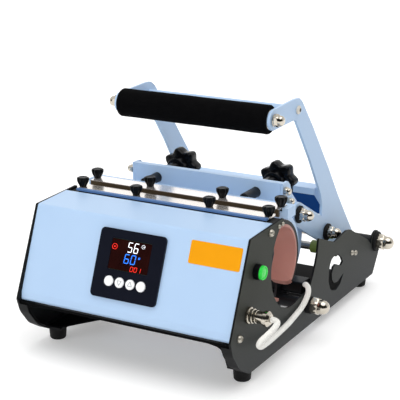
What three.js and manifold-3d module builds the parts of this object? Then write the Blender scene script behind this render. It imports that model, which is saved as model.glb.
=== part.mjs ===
// Cylindrical heat press for tumblers: two side plates carry a fixed front housing and a rear jaw,
// and a toggle lever at the back closes the jaw. All lengths are in millimetres.
// While the pieces are made, x runs to the right from the middle of the press, y to the rear from
// the front top corner of the side plates, and z up from the table.
import * as THREE from 'three';
import { mergeVertices } from 'three/addons/utils/BufferGeometryUtils.js';
import Module from 'manifold-3d';

const wasm = await Module();
wasm.setup();

// Shared values
const clearance = 0.3; // gap between a piece and its seat, and round a pin in its hole
const overrun = 4; // how far a cutter reaches past what it cuts
const weldTolerance = 1e-4;
const arcStep = Math.PI / 12; // widest turn of one facet of a rounded corner
const fullTurnAngle = 360;
const roundSides = 20; // facets round a shaft or a disc
const wideSides = 44; // facets round the large mug opening

// Side plates
const frameWidth = 270; // across the outer faces of the side plates
const plateThickness = 2.5;
const plateHeight = 166;
const plateFront = -43.6; // foremost point of a side plate
const rearEarRadius = 14.5;
const mugHoleY = 106;
const mugHoleZ = 113;
const mugHoleRadius = 57;
const flangeThickness = 2.5;
const flangeWidth = 10; // lower flange, turned inwards
const flangeTop = 58; // height at which the lower flange ends in front
const footLineShare = 0.0892; // underside of the plate over the feet, in shares of its height
const saddleDropShare = 0.9632; // the tower's foot below the mug opening's centre, of its radius
const footTabWidth = 25;
const footTabLength = 24;

// Pivots, seen from the side
const rearPivotY = 359; // lever on the side plates
const rearPivotZ = 57.5;
const jawPivotY = 146; // jaw on the side plates
const jawPivotZ = 43.5;
const kneePivotY = 265.5; // link on the lever
const kneePivotZ = 92.5;
const jawLinkY = 181; // link on the jaw
const jawLinkZ = 138;

// Axles and their nuts
const axleRadius = 6;
const spacerRadius = 7; // tubes that keep the lever and the jaw off the side plates
const axleWasherRadius = 13;
const axleWasherThickness = 4;
const jawBushRadius = 10;
const jawBushLength = 7;
const axleNutRadius = 10.5;
const axleNutHexLength = 9;
const axleNutLength = 21;

// Feet
const footRadius = 8.5;
const footInset = 15; // from the plate's outer face to the middle of a foot
const frontFootY = 13;
const rearFootY = 342;
const footRecessRadius = 3.5;
const footRecessDepth = 5;

// Heating pads and the shells behind them
const boreY = 104; // centre line of the tumbler
const boreZ = 104;
const boreRadius = 41;
const padThickness = 7.7;
const padInset = 15; // end of the pads inside the plates' outer faces
const skinThickness = 1.8; // end of the front pad under its strip
const shellThickness = 2;
const padBeyondShell = 3; // how far the rear pad stands out of its shell at each end
const shellRimWidth = 5;
const shellRimThickness = 3;

// Front cover and the pan under it
const sheetThickness = 1.5;
const coverRearY = 55.5;
const coverEdgeY = 0.5; // upper bend
const coverFall = 2; // upper bend below the cover's rear edge
const coverBendY = -36.6; // lower bend
const coverBendZ = 71.5;
const coverFootY = -38;
const coverFootZ = 61;
const coverReturn = 14;
const coverBendRadius = 3.5;
const panRearY = 47;
const panRearZ = 100;
const panDrop = 2; // underside of the pan below the cover's return

// Control panel on the sloping face
const panelX = -1.3;
const panelBelowEdge = 50.3; // centre of the panel down the slope from the upper bend
const panelWidth = 82;
const panelHeight = 75.6;
const panelThickness = 3;
const panelCorner = 5;
const tubWidth = 70;
const tubHeight = 62;
const tubDepth = 24;
const tubWall = 2;
const displayWidth = 50;
const displayHeight = 33.8;
const displayAbove = 10.9; // display centre above the panel centre
const displayThickness = 2.4;
const keyRadius = 5.6;
const keyPitch = 13.4;
const keyCount = 4;
const keyBelow = 18.9; // key centres below the panel centre
const keyProud = 1;
const keyLength = 5;
const boardThickness = 1.6;
const boardBack = 13; // board behind the cover's face
const relayWidth = 30;
const relayHeight = 22;
const relayDepth = 8;

// Power switch on the right plate
const switchY = 12;
const switchZ = 126;
const switchRadius = 8.6;
const switchProud = 6.6;
const switchBodyRadius = 7;
const switchBodyLength = 22;
const capRadius = 7.6;
const capProud = 4.2; // cap beyond the bezel
const capTravel = 2;

// Heater connector on the right plate
const connectorY = -5;
const connectorZ = 83.4;
const connectorNutRadius = 9;
const connectorNutLength = 7.7;
const connectorBodyRadius = 6.5;
const connectorBodyLength = 14;
const plugRadius = 5.8;
const plugRingRadius = 7.5;
const plugBarrelLength = 10.5;
const plugLength = 18;
const cableRadius = 3.25;

// Mains inlet on the left plate
const inletY = -2;
const inletZ = 84;
const inletWidth = 27;
const inletHeight = 20;
const inletFlangeWidth = 33;
const inletFlangeHeight = 26;
const inletFlangeThickness = 2.5;
const inletDepth = 22;
const inletWall = 2;
const inletFloor = 4;

// Clamp strips and thumb screws
const lipFrontY = 57.7;
const lipRearY = 84;
const lipTopZ = 162.7;
const stripBeyondPad = 2.5;
const frontStripY = 62;
const frontStripWidth = 22;
const stripThickness = 2.4;
const screwRowFrontY = 72.3;
const screwRowRearY = 103.3;
const screwFromEnd = 2.6; // outer screws from the strip's end
const screwInnerShare = 0.3937; // inner screws' distance from the middle, of the outer ones'
const screwShankRadius = 2;
const screwKnobBase = 5.4;
const screwKnobTop = 7.3;
const screwKnobHeight = 11.2;
const screwFlutes = 9;
const screwFluteDepthShare = 0.09;
const screwDepth = 6; // thread below the strip

// Clamp bar and its adjusters
const barFrontY = 100;
const barDepth = 20;
const barBottomZ = 157.5;
const barTopZ = 169.5;
const barInset = 5; // end of the bar inside the plates' outer faces
const barStep = 4; // the strip's seat below the bar's ends
const rearStripY = 92;
const rearStripWidth = 21;
const rearStripLeg = 9;
const rearStripLegThickness = 3;
const rodSpreadShare = 0.657; // adjusters' distance from the middle, of the jaw's half width
const rodZ = 167;
const rodRadius = 6;
const threadRadius = 4;
const rodSleeveEndY = 178;
const rodEndY = 206;
const barTravel = 12;
const starRadius = 20.5;
const starLobes = 7;
const starLobeShare = 0.1;
const starFrontY = 202;
const starThickness = 21;
const starHubRadius = 9;
const starEdge = 2.5;

// Jaw
const jawInset = 35; // jaw plates' and lever arms' outer faces inside the side plates' ones
const jawPlateThickness = 3;
const jawHubRadius = 11;
const jawReach = 56; // from the beam's front to the rearmost point of a jaw plate
const beamFrontY = 150;
const beamDepth = 8;
const beamBottomZ = 155;
const beamTopZ = 181.3;
const beamFootDepth = 22;
const beamFootReach = 20; // foot at the beam's end, inwards from the jaw plate's outer face
const beamFootBottomZ = 153;
const beamFootTopZ = 161;
const beamBoltRadius = 2.5;
const beamNutRadius = 4.1;
const beamNutLength = 7;
const upperBoltZ = 172;
const lowerBoltY = 166;
const lowerBoltZ = 157;
const hingeTubeRadius = 10.5;
const hingeWebThickness = 3;
const hingeHeelY = 170;
const hingeHeelZ = 58;
const terminalLength = 25.7; // cover over the pad's terminals, beside the right jaw plate
const terminalFrontY = 148;
const terminalRearY = 174;
const terminalBottomZ = 52;
const terminalTopZ = 66;
const terminalCorner = 3;
const padTabWidth = 16; // tab at the right lower corner of the rear pad

// Links
const linkThickness = 5.2;
const linkRadius = 14;
const linkBoltRadius = 5;
const linkHeadRadius = 8;
const linkHeadLength = 5;
const linkWasherRadius = 8.8;
const linkWasherThickness = 2.7;
const linkNutRadius = 8.4;
const linkNutHexLength = 7;
const linkNutLength = 17.5;

// Lever
const leverHeight = 274;
const gripY = 123.5;
const gripDrop = 13.3; // grip's axis below the lever's top
const gripEyeRadius = 11.7;
const leverHubRadius = 9.5;
const kneeHubRadius = 12.5;
const gripBarRadius = 11;
const gripNeckRadius = 4;
const gripNutRadius = 7.5;
const gripNutLength = 12.5;
const foamRadius = 16.5;
const foamEdge = 3;
const foamGap = 1; // between the foam and a lever arm
const tieRadius = 4.5;
const tieReachShare = 0.2654; // tie's place along the reach from the grip to the rear pivot
const tieDrop = 13.9; // tie's axis below the lever's top
const tieBoltRadius = 2.5;
const tieHeadRadius = 5;
const tieHeadLength = 3;

// Stop rod under the lever arms
const stopAlongShare = 0.31; // along the line from the knee pivot to the rear pivot
const stopSleeveRadius = 8;
const stopSleeveInward = 22; // from the lever arm's outer face
const stopSleeveOutward = 12;
const stopRodRadius = 5;

// Colours and finishes
const look = (color, roughness, metalness) => ({ color, roughness, metalness });
const bluePaint = look(0xb3d3f2, 0.35, 0.1);
const darkPaint = look(0x464742, 0.6, 0.2);
const blackPaint = look(0x17181a, 0.5, 0.2);
const blackPlastic = look(0x141416, 0.45, 0);
const blackFoam = look(0x101113, 0.95, 0);
const blackRubber = look(0x18181a, 0.85, 0);
const padRubber = look(0xb5786d, 0.6, 0);
const chrome = look(0xd8d5ce, 0.15, 1);
const greenPlastic = look(0x3fd24a, 0.4, 0);
const greenRubber = look(0x5f7a34, 0.7, 0);
const whitePlastic = look(0xe9ebee, 0.4, 0);
const darkGlass = look(0x0b0d12, 0.08, 0);
const whiteBraid = look(0xece9e2, 0.9, 0);
const circuitGreen = look(0x1f6b3c, 0.6, 0);

// Turns a drawing in y and z, with its depth, into the press's own axes.
const sideways = new THREE.Matrix4().makeBasis(
  new THREE.Vector3(0, 1, 0),
  new THREE.Vector3(0, 0, 1),
  new THREE.Vector3(1, 0, 0),
);

// A closed solid from a geometry: welded, without collapsed faces, and facing out.
function solid(geometry) {
  const bare = geometry.clone();
  bare.deleteAttribute('normal');
  bare.deleteAttribute('uv');
  const welded = mergeVertices(bare, weldTolerance);
  const place = welded.attributes.position;
  const faces = [];
  const a = new THREE.Vector3();
  const b = new THREE.Vector3();
  const c = new THREE.Vector3();
  let volume = 0;
  for (let i = 0; i < welded.index.count; i += 3) {
    const face = [welded.index.getX(i), welded.index.getX(i + 1), welded.index.getX(i + 2)];
    if (face[0] === face[1] || face[1] === face[2] || face[2] === face[0]) continue;
    a.fromBufferAttribute(place, face[0]);
    b.fromBufferAttribute(place, face[1]);
    c.fromBufferAttribute(place, face[2]);
    volume += a.dot(b.cross(c));
    faces.push(face);
  }
  const turned = volume < 0 ? faces.map((face) => [face[0], face[2], face[1]]) : faces;
  return new wasm.Manifold(new wasm.Mesh({
    numProp: 3,
    vertProperties: new Float32Array(place.array),
    triVerts: new Uint32Array(turned.flat()),
  }));
}

const join = (first, ...rest) => rest.reduce((sum, next) => sum.add(next), first);
const cut = (first, ...rest) => rest.reduce((left, next) => left.subtract(next), first);

// Points of an outline whose corners are [u, v, radius]. An open line keeps its two ends.
function rounded(corners, closed = true) {
  const points = [];
  const count = corners.length;
  corners.forEach(([u, v, radius = 0], i) => {
    const here = new THREE.Vector2(u, v);
    const isEnd = !closed && (i === 0 || i === count - 1);
    if (radius === 0 || isEnd) {
      points.push(here);
      return;
    }
    const [bu, bv] = corners[(i + count - 1) % count];
    const [au, av] = corners[(i + 1) % count];
    const back = new THREE.Vector2(bu, bv).sub(here).normalize();
    const ahead = new THREE.Vector2(au, av).sub(here).normalize();
    const half = Math.acos(THREE.MathUtils.clamp(back.dot(ahead), -1, 1)) / 2;
    const centre = back.clone().add(ahead).normalize().multiplyScalar(radius / Math.sin(half)).add(here);
    const start = back.clone().multiplyScalar(radius / Math.tan(half)).add(here).sub(centre);
    const end = ahead.clone().multiplyScalar(radius / Math.tan(half)).add(here).sub(centre);
    const sweep = Math.atan2(start.cross(end), start.dot(end));
    const steps = Math.max(2, Math.ceil(Math.abs(sweep) / arcStep));
    for (let k = 0; k <= steps; k++) {
      points.push(start.clone().rotateAround(new THREE.Vector2(0, 0), (sweep * k) / steps).add(centre));
    }
  });
  return points;
}

// Corners along an arc, from one angle to the other in degrees, counted from the rear upwards.
function arc(y, z, radius, from, to, steps) {
  return Array.from({ length: steps + 1 }, (_, i) => {
    const angle = THREE.MathUtils.degToRad(from + ((to - from) * i) / steps);
    return [y + radius * Math.cos(angle), z + radius * Math.sin(angle)];
  });
}

// Outline of a bent sheet: the line of its outer face, and the same line moved to its left.
function sheetOutline(corners, thickness) {
  const line = rounded(corners, false);
  const inner = line.map((point, i) => {
    const before = line[Math.max(i - 1, 0)];
    const after = line[Math.min(i + 1, line.length - 1)];
    const into = i > 0 ? point.clone().sub(before).normalize() : null;
    const out = i < line.length - 1 ? after.clone().sub(point).normalize() : null;
    const first = into ?? out;
    const second = out ?? into;
    const left = new THREE.Vector2(-(first.y + second.y), first.x + second.x).normalize();
    const mitre = thickness / left.dot(new THREE.Vector2(-first.y, first.x));
    return point.clone().add(left.multiplyScalar(mitre));
  });
  return line.concat(inner.reverse());
}

// A side outline given a thickness in x.
function slab(points, x0, x1) {
  const shape = new THREE.Shape(points);
  const geometry = new THREE.ExtrudeGeometry(shape, { depth: x1 - x0, bevelEnabled: false });
  return solid(geometry.applyMatrix4(sideways).translate(x0, 0, 0));
}

function box(x0, x1, y0, y1, z0, z1) {
  const geometry = new THREE.BoxGeometry(x1 - x0, y1 - y0, z1 - z0);
  return solid(geometry.translate((x0 + x1) / 2, (y0 + y1) / 2, (z0 + z1) / 2));
}

// Turned shapes: rows are [distance along the axis, radius], and the two ends close on the axis.
function lathe(rows, sides) {
  const first = rows[0];
  const last = rows[rows.length - 1];
  const profile = [[first[0], 0], ...rows, [last[0], 0]].map(([along, r]) => new THREE.Vector2(r, along));
  return new THREE.LatheGeometry(profile, sides);
}

function turnedX(rows, y, z, side = 1, sides = roundSides) {
  return solid(lathe(rows, sides).rotateZ((-side * Math.PI) / 2).translate(0, y, z));
}

function turnedY(rows, x, z, sides = roundSides) {
  return solid(lathe(rows, sides).translate(x, 0, z));
}

function turnedZ(rows, x, y, sides = roundSides) {
  return solid(lathe(rows, sides).rotateX(Math.PI / 2).translate(x, y, 0));
}

const rodX = (radius, x0, x1, y, z, sides) => turnedX([[x0, radius], [x1, radius]], y, z, 1, sides);
const rodY = (radius, y0, y1, x, z, sides) => turnedY([[y0, radius], [y1, radius]], x, z, sides);
const rodZaxis = (radius, z0, z1, x, y, sides) => turnedZ([[z0, radius], [z1, radius]], x, y, sides);

// A hexagon nut with a domed cap, on an axis along x, starting at the given distance.
function acornNut(start, radius, hexLength, length, y, z, side) {
  const hexagon = turnedX([[start, radius], [start + hexLength, radius]], y, z, side, 6);
  const capRadiusHere = radius * Math.cos(Math.PI / 6);
  const steps = 3;
  const dome = Array.from({ length: steps + 1 }, (_, i) => {
    const angle = (Math.PI / 2) * (i / steps);
    const along = start + hexLength + (length - hexLength) * Math.sin(angle);
    return [along, Math.max(capRadiusHere * Math.cos(angle), weldTolerance * 10)];
  });
  return hexagon.add(turnedX([[start + hexLength / 2, capRadiusHere], ...dome], y, z, side, 12));
}

// A body made of rings of equal length, each a list of points, with its two ends closed.
function loft(rings) {
  const count = rings[0].length;
  const points = rings.flat();
  const faces = [];
  for (let k = 0; k < rings.length - 1; k++) {
    for (let i = 0; i < count; i++) {
      const a = k * count + i;
      const b = k * count + ((i + 1) % count);
      faces.push(a, b, b + count, a, b + count, a + count);
    }
  }
  const middle = (ring) => ring.reduce((sum, p) => sum.add(p), new THREE.Vector3()).divideScalar(count);
  const low = points.push(middle(rings[0])) - 1;
  const high = points.push(middle(rings[rings.length - 1])) - 1;
  const top = (rings.length - 1) * count;
  for (let i = 0; i < count; i++) {
    const next = (i + 1) % count;
    faces.push(low, next, i, high, top + i, top + next);
  }
  const geometry = new THREE.BufferGeometry().setFromPoints(points);
  geometry.setIndex(faces);
  return solid(geometry);
}

// A ring with lobes round an axis; place turns two numbers across the axis into a point.
function lobedRing(radius, depthShare, lobes, stepsPerLobe, place) {
  const count = lobes * stepsPerLobe;
  return Array.from({ length: count }, (_, i) => {
    const angle = (2 * Math.PI * i) / count;
    const r = radius * (1 - depthShare * (1 - Math.cos(lobes * angle)));
    return place(r * Math.cos(angle), r * Math.sin(angle));
  });
}

const press = new THREE.Group();

function group(name, parent = press) {
  const made = new THREE.Group();
  made.name = name;
  parent.add(made);
  return made;
}

function piece(parent, name, body, finish) {
  const data = body.getMesh();
  const geometry = new THREE.BufferGeometry();
  geometry.setAttribute('position', new THREE.BufferAttribute(data.vertProperties, 3));
  geometry.setIndex(new THREE.BufferAttribute(data.triVerts, 1));
  geometry.computeVertexNormals();
  const mesh = new THREE.Mesh(geometry, new THREE.MeshStandardMaterial(finish));
  mesh.name = name;
  parent.add(mesh);
  return mesh;
}

const sides = [['left', -1], ['right', 1]];
const plateOuterX = frameWidth / 2;
const plateInnerX = plateOuterX - plateThickness;
const padHalfLength = plateOuterX - padInset;
const shellHalfLength = padHalfLength - padBeyondShell;
const stripHalfLength = padHalfLength + stripBeyondPad;
const barHalfLength = plateOuterX - barInset;
const jawHalfWidth = plateOuterX - jawInset;
const rodSpread = jawHalfWidth * rodSpreadShare;
const beamFootInnerX = jawHalfWidth - beamFootReach;
const gripZ = leverHeight - gripDrop;
const onSide = (side, near, far) => (side > 0 ? [near, far] : [-far, -near]);

// Side plates

// Corners of a side plate: share of its depth from the front, share of its height, corner radius share.
const plateCornerShares = [
  [0.1044, 0.988, 0.01],
  [0.2912, 1, 0.01],
  [0.3055, 0.937, 0],
];
const towerCornerShares = [
  [0.4655, 0.35, 0.03],
  [0.481, 0.4, 0],
  [0.493, 0.44, 0],
  [0.509, 0.514, 0],
  [0.5195, 0.578, 0],
  [0.5265, 0.69, 0.015],
  [0.6404, 0.579, 0.02],
  [0.728, 0.603, 0.02],
  [0.76, 0.586, 0.02],
  [0.9, 0.408, 0],
];
const heelCornerShares = [
  [0.9963, 0.241, 0.04],
  [0.9525, footLineShare, 0.03],
  [0.103, footLineShare, 0.08],
  [0.05, 0.172, 0.15],
  [0.0134, 0.289, 0.12],
  [0, 0.3873, 0.02],
];

const plateRear = rearPivotY + rearEarRadius;
const plateDepth = plateRear - plateFront;
const footTopZ = footLineShare * plateHeight - clearance;

const onPlate = ([y, z, radius]) => [
  plateFront + y * plateDepth,
  z * plateHeight,
  radius * plateHeight,
];

function plateOutline() {
  const saddleZ = mugHoleZ - saddleDropShare * mugHoleRadius;
  const saddleY = mugHoleY + Math.sqrt(mugHoleRadius ** 2 - (mugHoleZ - saddleZ) ** 2);
  return rounded([
    ...plateCornerShares.map(onPlate),
    [mugHoleY, mugHoleZ],
    [saddleY, saddleZ],
    ...towerCornerShares.map(onPlate),
    [rearPivotY - rearEarRadius, rearPivotZ],
    [rearPivotY + rearEarRadius, rearPivotZ],
    ...heelCornerShares.map(onPlate),
  ]);
}

// The crescent window: a smooth closed line through points, in shares of the plate's depth and height.
const crescentShares = [
  [0.7155, 0.288],
  [0.692, 0.221],
  [0.664, 0.197],
  [0.638, 0.205],
  [0.6175, 0.24],
  [0.603, 0.307],
  [0.6035, 0.377],
  [0.611, 0.43],
  [0.622, 0.462],
  [0.642, 0.473],
  [0.672, 0.463],
  [0.695, 0.422],
  [0.7065, 0.381],
  [0.6935, 0.361],
  [0.672, 0.382],
  [0.6525, 0.402],
  [0.637, 0.392],
  [0.6265, 0.349],
  [0.63, 0.298],
  [0.645, 0.263],
  [0.669, 0.252],
  [0.6935, 0.269],
];

function crescentWindow(x0, x1) {
  return slab(crescentShares.map(([y, z]) => new THREE.Vector2(plateFront + y * plateDepth, z * plateHeight)), x0, x1);
}

const base = group('base');
const footYs = [['front', frontFootY], ['rear', rearFootY]];
const flangeShift = flangeThickness;

sides.forEach(([name, side]) => {
  const outline = plateOutline();
  const [x0, x1] = onSide(side, plateInnerX, plateOuterX);
  const [f0, f1] = onSide(side, plateInnerX - flangeWidth, plateInnerX);
  const [t0, t1] = onSide(side, plateInnerX - footTabWidth, plateInnerX);
  const inward = outline.map((p) => new THREE.Vector2(p.x + flangeShift, p.y + flangeShift));
  const lowerHalf = box(f0, f1, plateFront, plateRear, 0, flangeTop);
  const flange = cut(slab(outline, f0, f1).intersect(lowerHalf), slab(inward, f0 - overrun, f1 + overrun));
  const tabs = footYs.map(([, y]) => box(
    t0, t1, y - footTabLength / 2, y + footTabLength / 2,
    footTopZ + clearance, footTopZ + clearance + flangeThickness,
  ));
  const ear = rodX(rearEarRadius, x0, x1, rearPivotY, rearPivotZ);
  const c0 = x0 - overrun;
  const c1 = x1 + overrun;
  const holes = [
    rodX(mugHoleRadius, c0 - flangeWidth, c1 + flangeWidth, mugHoleY, mugHoleZ, wideSides),
    rodX(axleRadius + clearance, c0, c1, rearPivotY, rearPivotZ),
    rodX(axleRadius + clearance, c0, c1, jawPivotY, jawPivotZ),
    crescentWindow(c0, c1),
  ];
  if (side > 0) {
    holes.push(rodX(switchBodyRadius + clearance, c0, c1, switchY, switchZ));
    holes.push(rodX(connectorBodyRadius + clearance, c0, c1, connectorY, connectorZ));
  } else {
    const halfWidth = inletWidth / 2 + clearance;
    const halfHeight = inletHeight / 2 + clearance;
    holes.push(box(c0, c1, inletY - halfWidth, inletY + halfWidth, inletZ - halfHeight, inletZ + halfHeight));
  }
  const plate = join(slab(outline, x0, x1), ear, flange, ...tabs);
  piece(base, `side_plate_${name}`, cut(plate, ...holes), darkPaint);
});

// Feet

const footSpread = plateOuterX - footInset;
sides.forEach(([name, side]) => {
  footYs.forEach(([row, y]) => {
    const foot = cut(
      turnedZ([[0, footRadius * 0.86], [footTopZ * 0.12, footRadius * 0.93], [footTopZ, footRadius]],
        side * footSpread, y),
      rodZaxis(footRecessRadius, -overrun, footRecessDepth, side * footSpread, y),
    );
    piece(base, `foot_${row}_${name}`, foot, blackRubber);
  });
});

// Front cover and its pan

const coverLength = plateInnerX - clearance;
const coverEdgeZ = plateHeight - coverFall;
const cover = slab(sheetOutline([
  [coverRearY, plateHeight],
  [coverEdgeY, coverEdgeZ, coverBendRadius],
  [coverBendY, coverBendZ, coverBendRadius],
  [coverFootY, coverFootZ, coverBendRadius],
  [coverFootY + coverReturn, coverFootZ],
], sheetThickness), -coverLength, coverLength);

// Sloping face: right, up the slope, and out of the face
const slopeUp = new THREE.Vector3(0, coverEdgeY - coverBendY, coverEdgeZ - coverBendZ).normalize();
const slopeOut = new THREE.Vector3(1, 0, 0).cross(slopeUp);
const panelCentre = new THREE.Vector3(panelX, coverEdgeY, coverEdgeZ).addScaledVector(slopeUp, -panelBelowEdge);
const onSlope = new THREE.Matrix4()
  .makeBasis(new THREE.Vector3(1, 0, 0), slopeUp, slopeOut)
  .setPosition(panelCentre);

function roundedBlock(width, height, corner, low, high, u = 0, v = 0) {
  const w = width / 2;
  const h = height / 2;
  const points = rounded([
    [u - w, v - h, corner], [u + w, v - h, corner], [u + w, v + h, corner], [u - w, v + h, corner],
  ]);
  const geometry = new THREE.ExtrudeGeometry(new THREE.Shape(points), { depth: high - low, bevelEnabled: false });
  return geometry.translate(0, 0, low);
}

const faceCylinder = (radius, low, high, u, v) => lathe([[low, radius], [high, radius]], roundSides)
  .rotateX(Math.PI / 2)
  .translate(u, v, 0);

const tubCorner = panelCorner / 2;
const coverWindow = roundedBlock(tubWidth + clearance, tubHeight + clearance, tubCorner, -overrun, overrun);
piece(base, 'front_cover', cut(cover, solid(coverWindow.applyMatrix4(onSlope))), bluePaint);

const panTop = coverFootZ - clearance;
const pan = slab(sheetOutline([
  [panRearY, panRearZ],
  [panRearY, panTop - panDrop, coverBendRadius],
  [coverFootY + coverReturn / 4, panTop - panDrop],
].reverse(), panDrop), -coverLength, coverLength);
piece(base, 'bottom_pan', pan, blackPaint);

const panel = group('control_panel', base);
panel.applyMatrix4(onSlope);

const keyAt = (i) => (i - (keyCount - 1) / 2) * keyPitch;
const keys = Array.from({ length: keyCount }, (_, i) => keyAt(i));
const tub = cut(
  solid(roundedBlock(tubWidth - clearance, tubHeight - clearance, tubCorner, -tubDepth, panelThickness / 2)),
  solid(roundedBlock(tubWidth - 2 * tubWall, tubHeight - 2 * tubWall, tubCorner / 2, -tubDepth - overrun, 0)),
);
const bezel = cut(
  join(solid(roundedBlock(panelWidth, panelHeight, panelCorner, clearance, panelThickness)), tub),
  solid(roundedBlock(displayWidth, displayHeight, tubCorner / 2, -overrun, panelThickness + overrun, 0, displayAbove)),
  ...keys.map((u) => solid(faceCylinder(keyRadius + clearance, -overrun, panelThickness + overrun, u, -keyBelow))),
);
piece(panel, 'control_bezel', bezel, blackPlastic);

const windowGap = 2 * clearance;
piece(panel, 'display_window', solid(roundedBlock(
  displayWidth - windowGap, displayHeight - windowGap, tubCorner / 2,
  panelThickness - displayThickness, panelThickness - clearance, 0, displayAbove,
)), darkGlass);

keys.forEach((u, i) => {
  const key = solid(faceCylinder(keyRadius, panelThickness + keyProud - keyLength, panelThickness + keyProud, u, -keyBelow));
  piece(panel, `panel_key_${i + 1}`, key, whitePlastic);
});

const boardWidth = tubWidth - 2 * tubWall - windowGap;
const boardHeight = tubHeight - 2 * tubWall - windowGap;
const board = join(
  solid(roundedBlock(boardWidth, boardHeight, tubCorner / 2, -boardBack - boardThickness, -boardBack)),
  solid(roundedBlock(relayWidth, relayHeight, tubCorner / 2,
    -boardBack - relayDepth, -boardBack - boardThickness / 2, 0, boardHeight / 8)),
);
piece(panel, 'controller_board', board, circuitGreen);

// Power switch

const switchFace = plateOuterX + clearance;
const capFloor = switchFace + switchProud - capTravel - clearance * 2;
const switchBezel = cut(
  join(
    rodX(switchRadius, switchFace, switchFace + switchProud, switchY, switchZ),
    rodX(switchBodyRadius, plateInnerX - switchBodyLength, switchFace + overrun / 2, switchY, switchZ),
  ),
  rodX(capRadius + clearance, capFloor, switchFace + switchProud + overrun, switchY, switchZ),
);
piece(base, 'switch_bezel', switchBezel, blackPlastic);
const capEnd = switchFace + switchProud + capProud;
piece(base, 'power_button', turnedX([
  [capFloor + capTravel + clearance, capRadius],
  [capEnd - capProud / 4, capRadius],
  [capEnd, capRadius * 0.9],
], switchY, switchZ), greenPlastic);

// Heater connector, its plug and the heater's cable

const connectorFace = plateOuterX + clearance;
const connectorEnd = connectorFace + connectorNutLength;
const connector = join(
  turnedX([
    [connectorFace, connectorNutRadius],
    [connectorFace + connectorNutLength * 0.4, connectorNutRadius],
    [connectorFace + connectorNutLength * 0.5, connectorNutRadius * 0.86],
    [connectorFace + connectorNutLength * 0.8, connectorNutRadius * 0.86],
    [connectorEnd, connectorNutRadius * 0.7],
  ], connectorY, connectorZ),
  rodX(connectorBodyRadius, plateInnerX - connectorBodyLength, connectorFace + overrun / 2, connectorY, connectorZ),
);
piece(base, 'heater_connector', connector, chrome);

const plugStart = connectorEnd + clearance;
const plugEnd = plugStart + plugLength;
piece(base, 'heater_plug', turnedX([
  [plugStart, plugRadius],
  [plugStart + plugBarrelLength, plugRadius],
  [plugStart + plugBarrelLength, plugRingRadius],
  [plugEnd - plugRingRadius / 4, plugRingRadius],
  [plugEnd, plugRadius],
], connectorY, connectorZ), chrome);

// Route of the cable, from the plug to the back of the rear pad
const cableRoute = [
  [161.7, -5, 83.4],
  [165.7, -5, 83.4],
  [170.6, -9, 83],
  [171.6, -18, 80.6],
  [168, -25, 75.4],
  [161.5, -26.5, 68],
  [155.5, -20, 59.8],
  [150, -4, 50.5],
  [146.5, 17, 46],
  [144, 39, 43.9],
  [142, 61.5, 43],
  [140.5, 83, 43],
  [139, 105, 44.8],
  [138.8, 122, 48.2],
  [138.8, 134, 54],
  [138.6, 140.5, 60],
  [136.6, 144.5, 64.3],
  [132.6, 149, 65.4],
  [128.7, 154, 63.8],
].map((point) => new THREE.Vector3(...point));
const cableCurve = new THREE.CatmullRomCurve3(cableRoute, false, 'centripetal');
const cableSection = new THREE.Shape(arc(0, 0, cableRadius, 0, fullTurnAngle, 8).slice(0, -1).map((p) => new THREE.Vector2(...p)));
piece(base, 'heater_cable', solid(new THREE.ExtrudeGeometry(cableSection, {
  steps: 44,
  bevelEnabled: false,
  extrudePath: cableCurve,
})), whiteBraid);

// Mains inlet

const inletFace = -plateOuterX - clearance;
const inletBlock = join(
  box(inletFace - inletFlangeThickness, inletFace, inletY - inletFlangeWidth / 2, inletY + inletFlangeWidth / 2,
    inletZ - inletFlangeHeight / 2, inletZ + inletFlangeHeight / 2),
  box(inletFace - inletFlangeThickness, inletFace + inletDepth, inletY - inletWidth / 2, inletY + inletWidth / 2,
    inletZ - inletHeight / 2, inletZ + inletHeight / 2),
);
const inletHollow = box(
  inletFace - inletFlangeThickness - overrun, inletFace + inletDepth - inletFloor,
  inletY - inletWidth / 2 + inletWall, inletY + inletWidth / 2 - inletWall,
  inletZ - inletHeight / 2 + inletWall, inletZ + inletHeight / 2 - inletWall,
);
piece(base, 'mains_inlet', cut(inletBlock, inletHollow), blackPlastic);

// Front shell, front pad and front strip

const shellInner = boreRadius + padThickness + clearance;
const shellOuter = shellInner + shellThickness;
// Angles are in degrees round the bore, counted from the rear upwards.
const frontShellTopAngle = 150;
const frontShellBottomAngle = 262;
const frontPadTopAngle = 116;
const frontPadBottomAngle = 267;
const rearShellTopAngle = 76;
const rearShellBottomAngle = -46;
const rearPadTopAngle = 95;
const rearPadBottomAngle = -44;
const rearTabBottomAngle = -52.5;
const rimTopAngle = 66;
const rimBottomAngle = -16;
const rimBevelAngle = 8;
const jawSeatTopAngle = 64;
const jawSeatBottomAngle = -44;
const hingeTopAngle = -40;
const shellSteps = 16;
const padSteps = 16;

const frontShell = slab(sheetOutline([
  [lipRearY, lipTopZ],
  [lipFrontY, lipTopZ, shellThickness * 1.5],
  ...arc(boreY, boreZ, shellOuter, frontShellTopAngle, frontShellBottomAngle, shellSteps),
], shellThickness), -coverLength, coverLength);

const screwOuterX = stripHalfLength - screwFromEnd;
const screwInnerX = screwOuterX * screwInnerShare;
const screwXs = [-screwOuterX, -screwInnerX, screwInnerX, screwOuterX];
const screwHole = (z0, z1, y) => screwXs.map((x) => rodZaxis(screwShankRadius + clearance, z0, z1, x, y, roundSides / 2));
const lowerStackZ = lipTopZ + clearance;
const frontStripZ = lowerStackZ + skinThickness + clearance;
piece(base, 'front_shell', cut(frontShell, ...screwHole(lipTopZ - overrun, lipTopZ + overrun, screwRowFrontY)), bluePaint);

const padRing = (from, to) => [
  ...arc(boreY, boreZ, boreRadius, from, to, padSteps),
  ...arc(boreY, boreZ, boreRadius + padThickness, to, from, padSteps),
].map((p) => new THREE.Vector2(...p));

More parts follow.
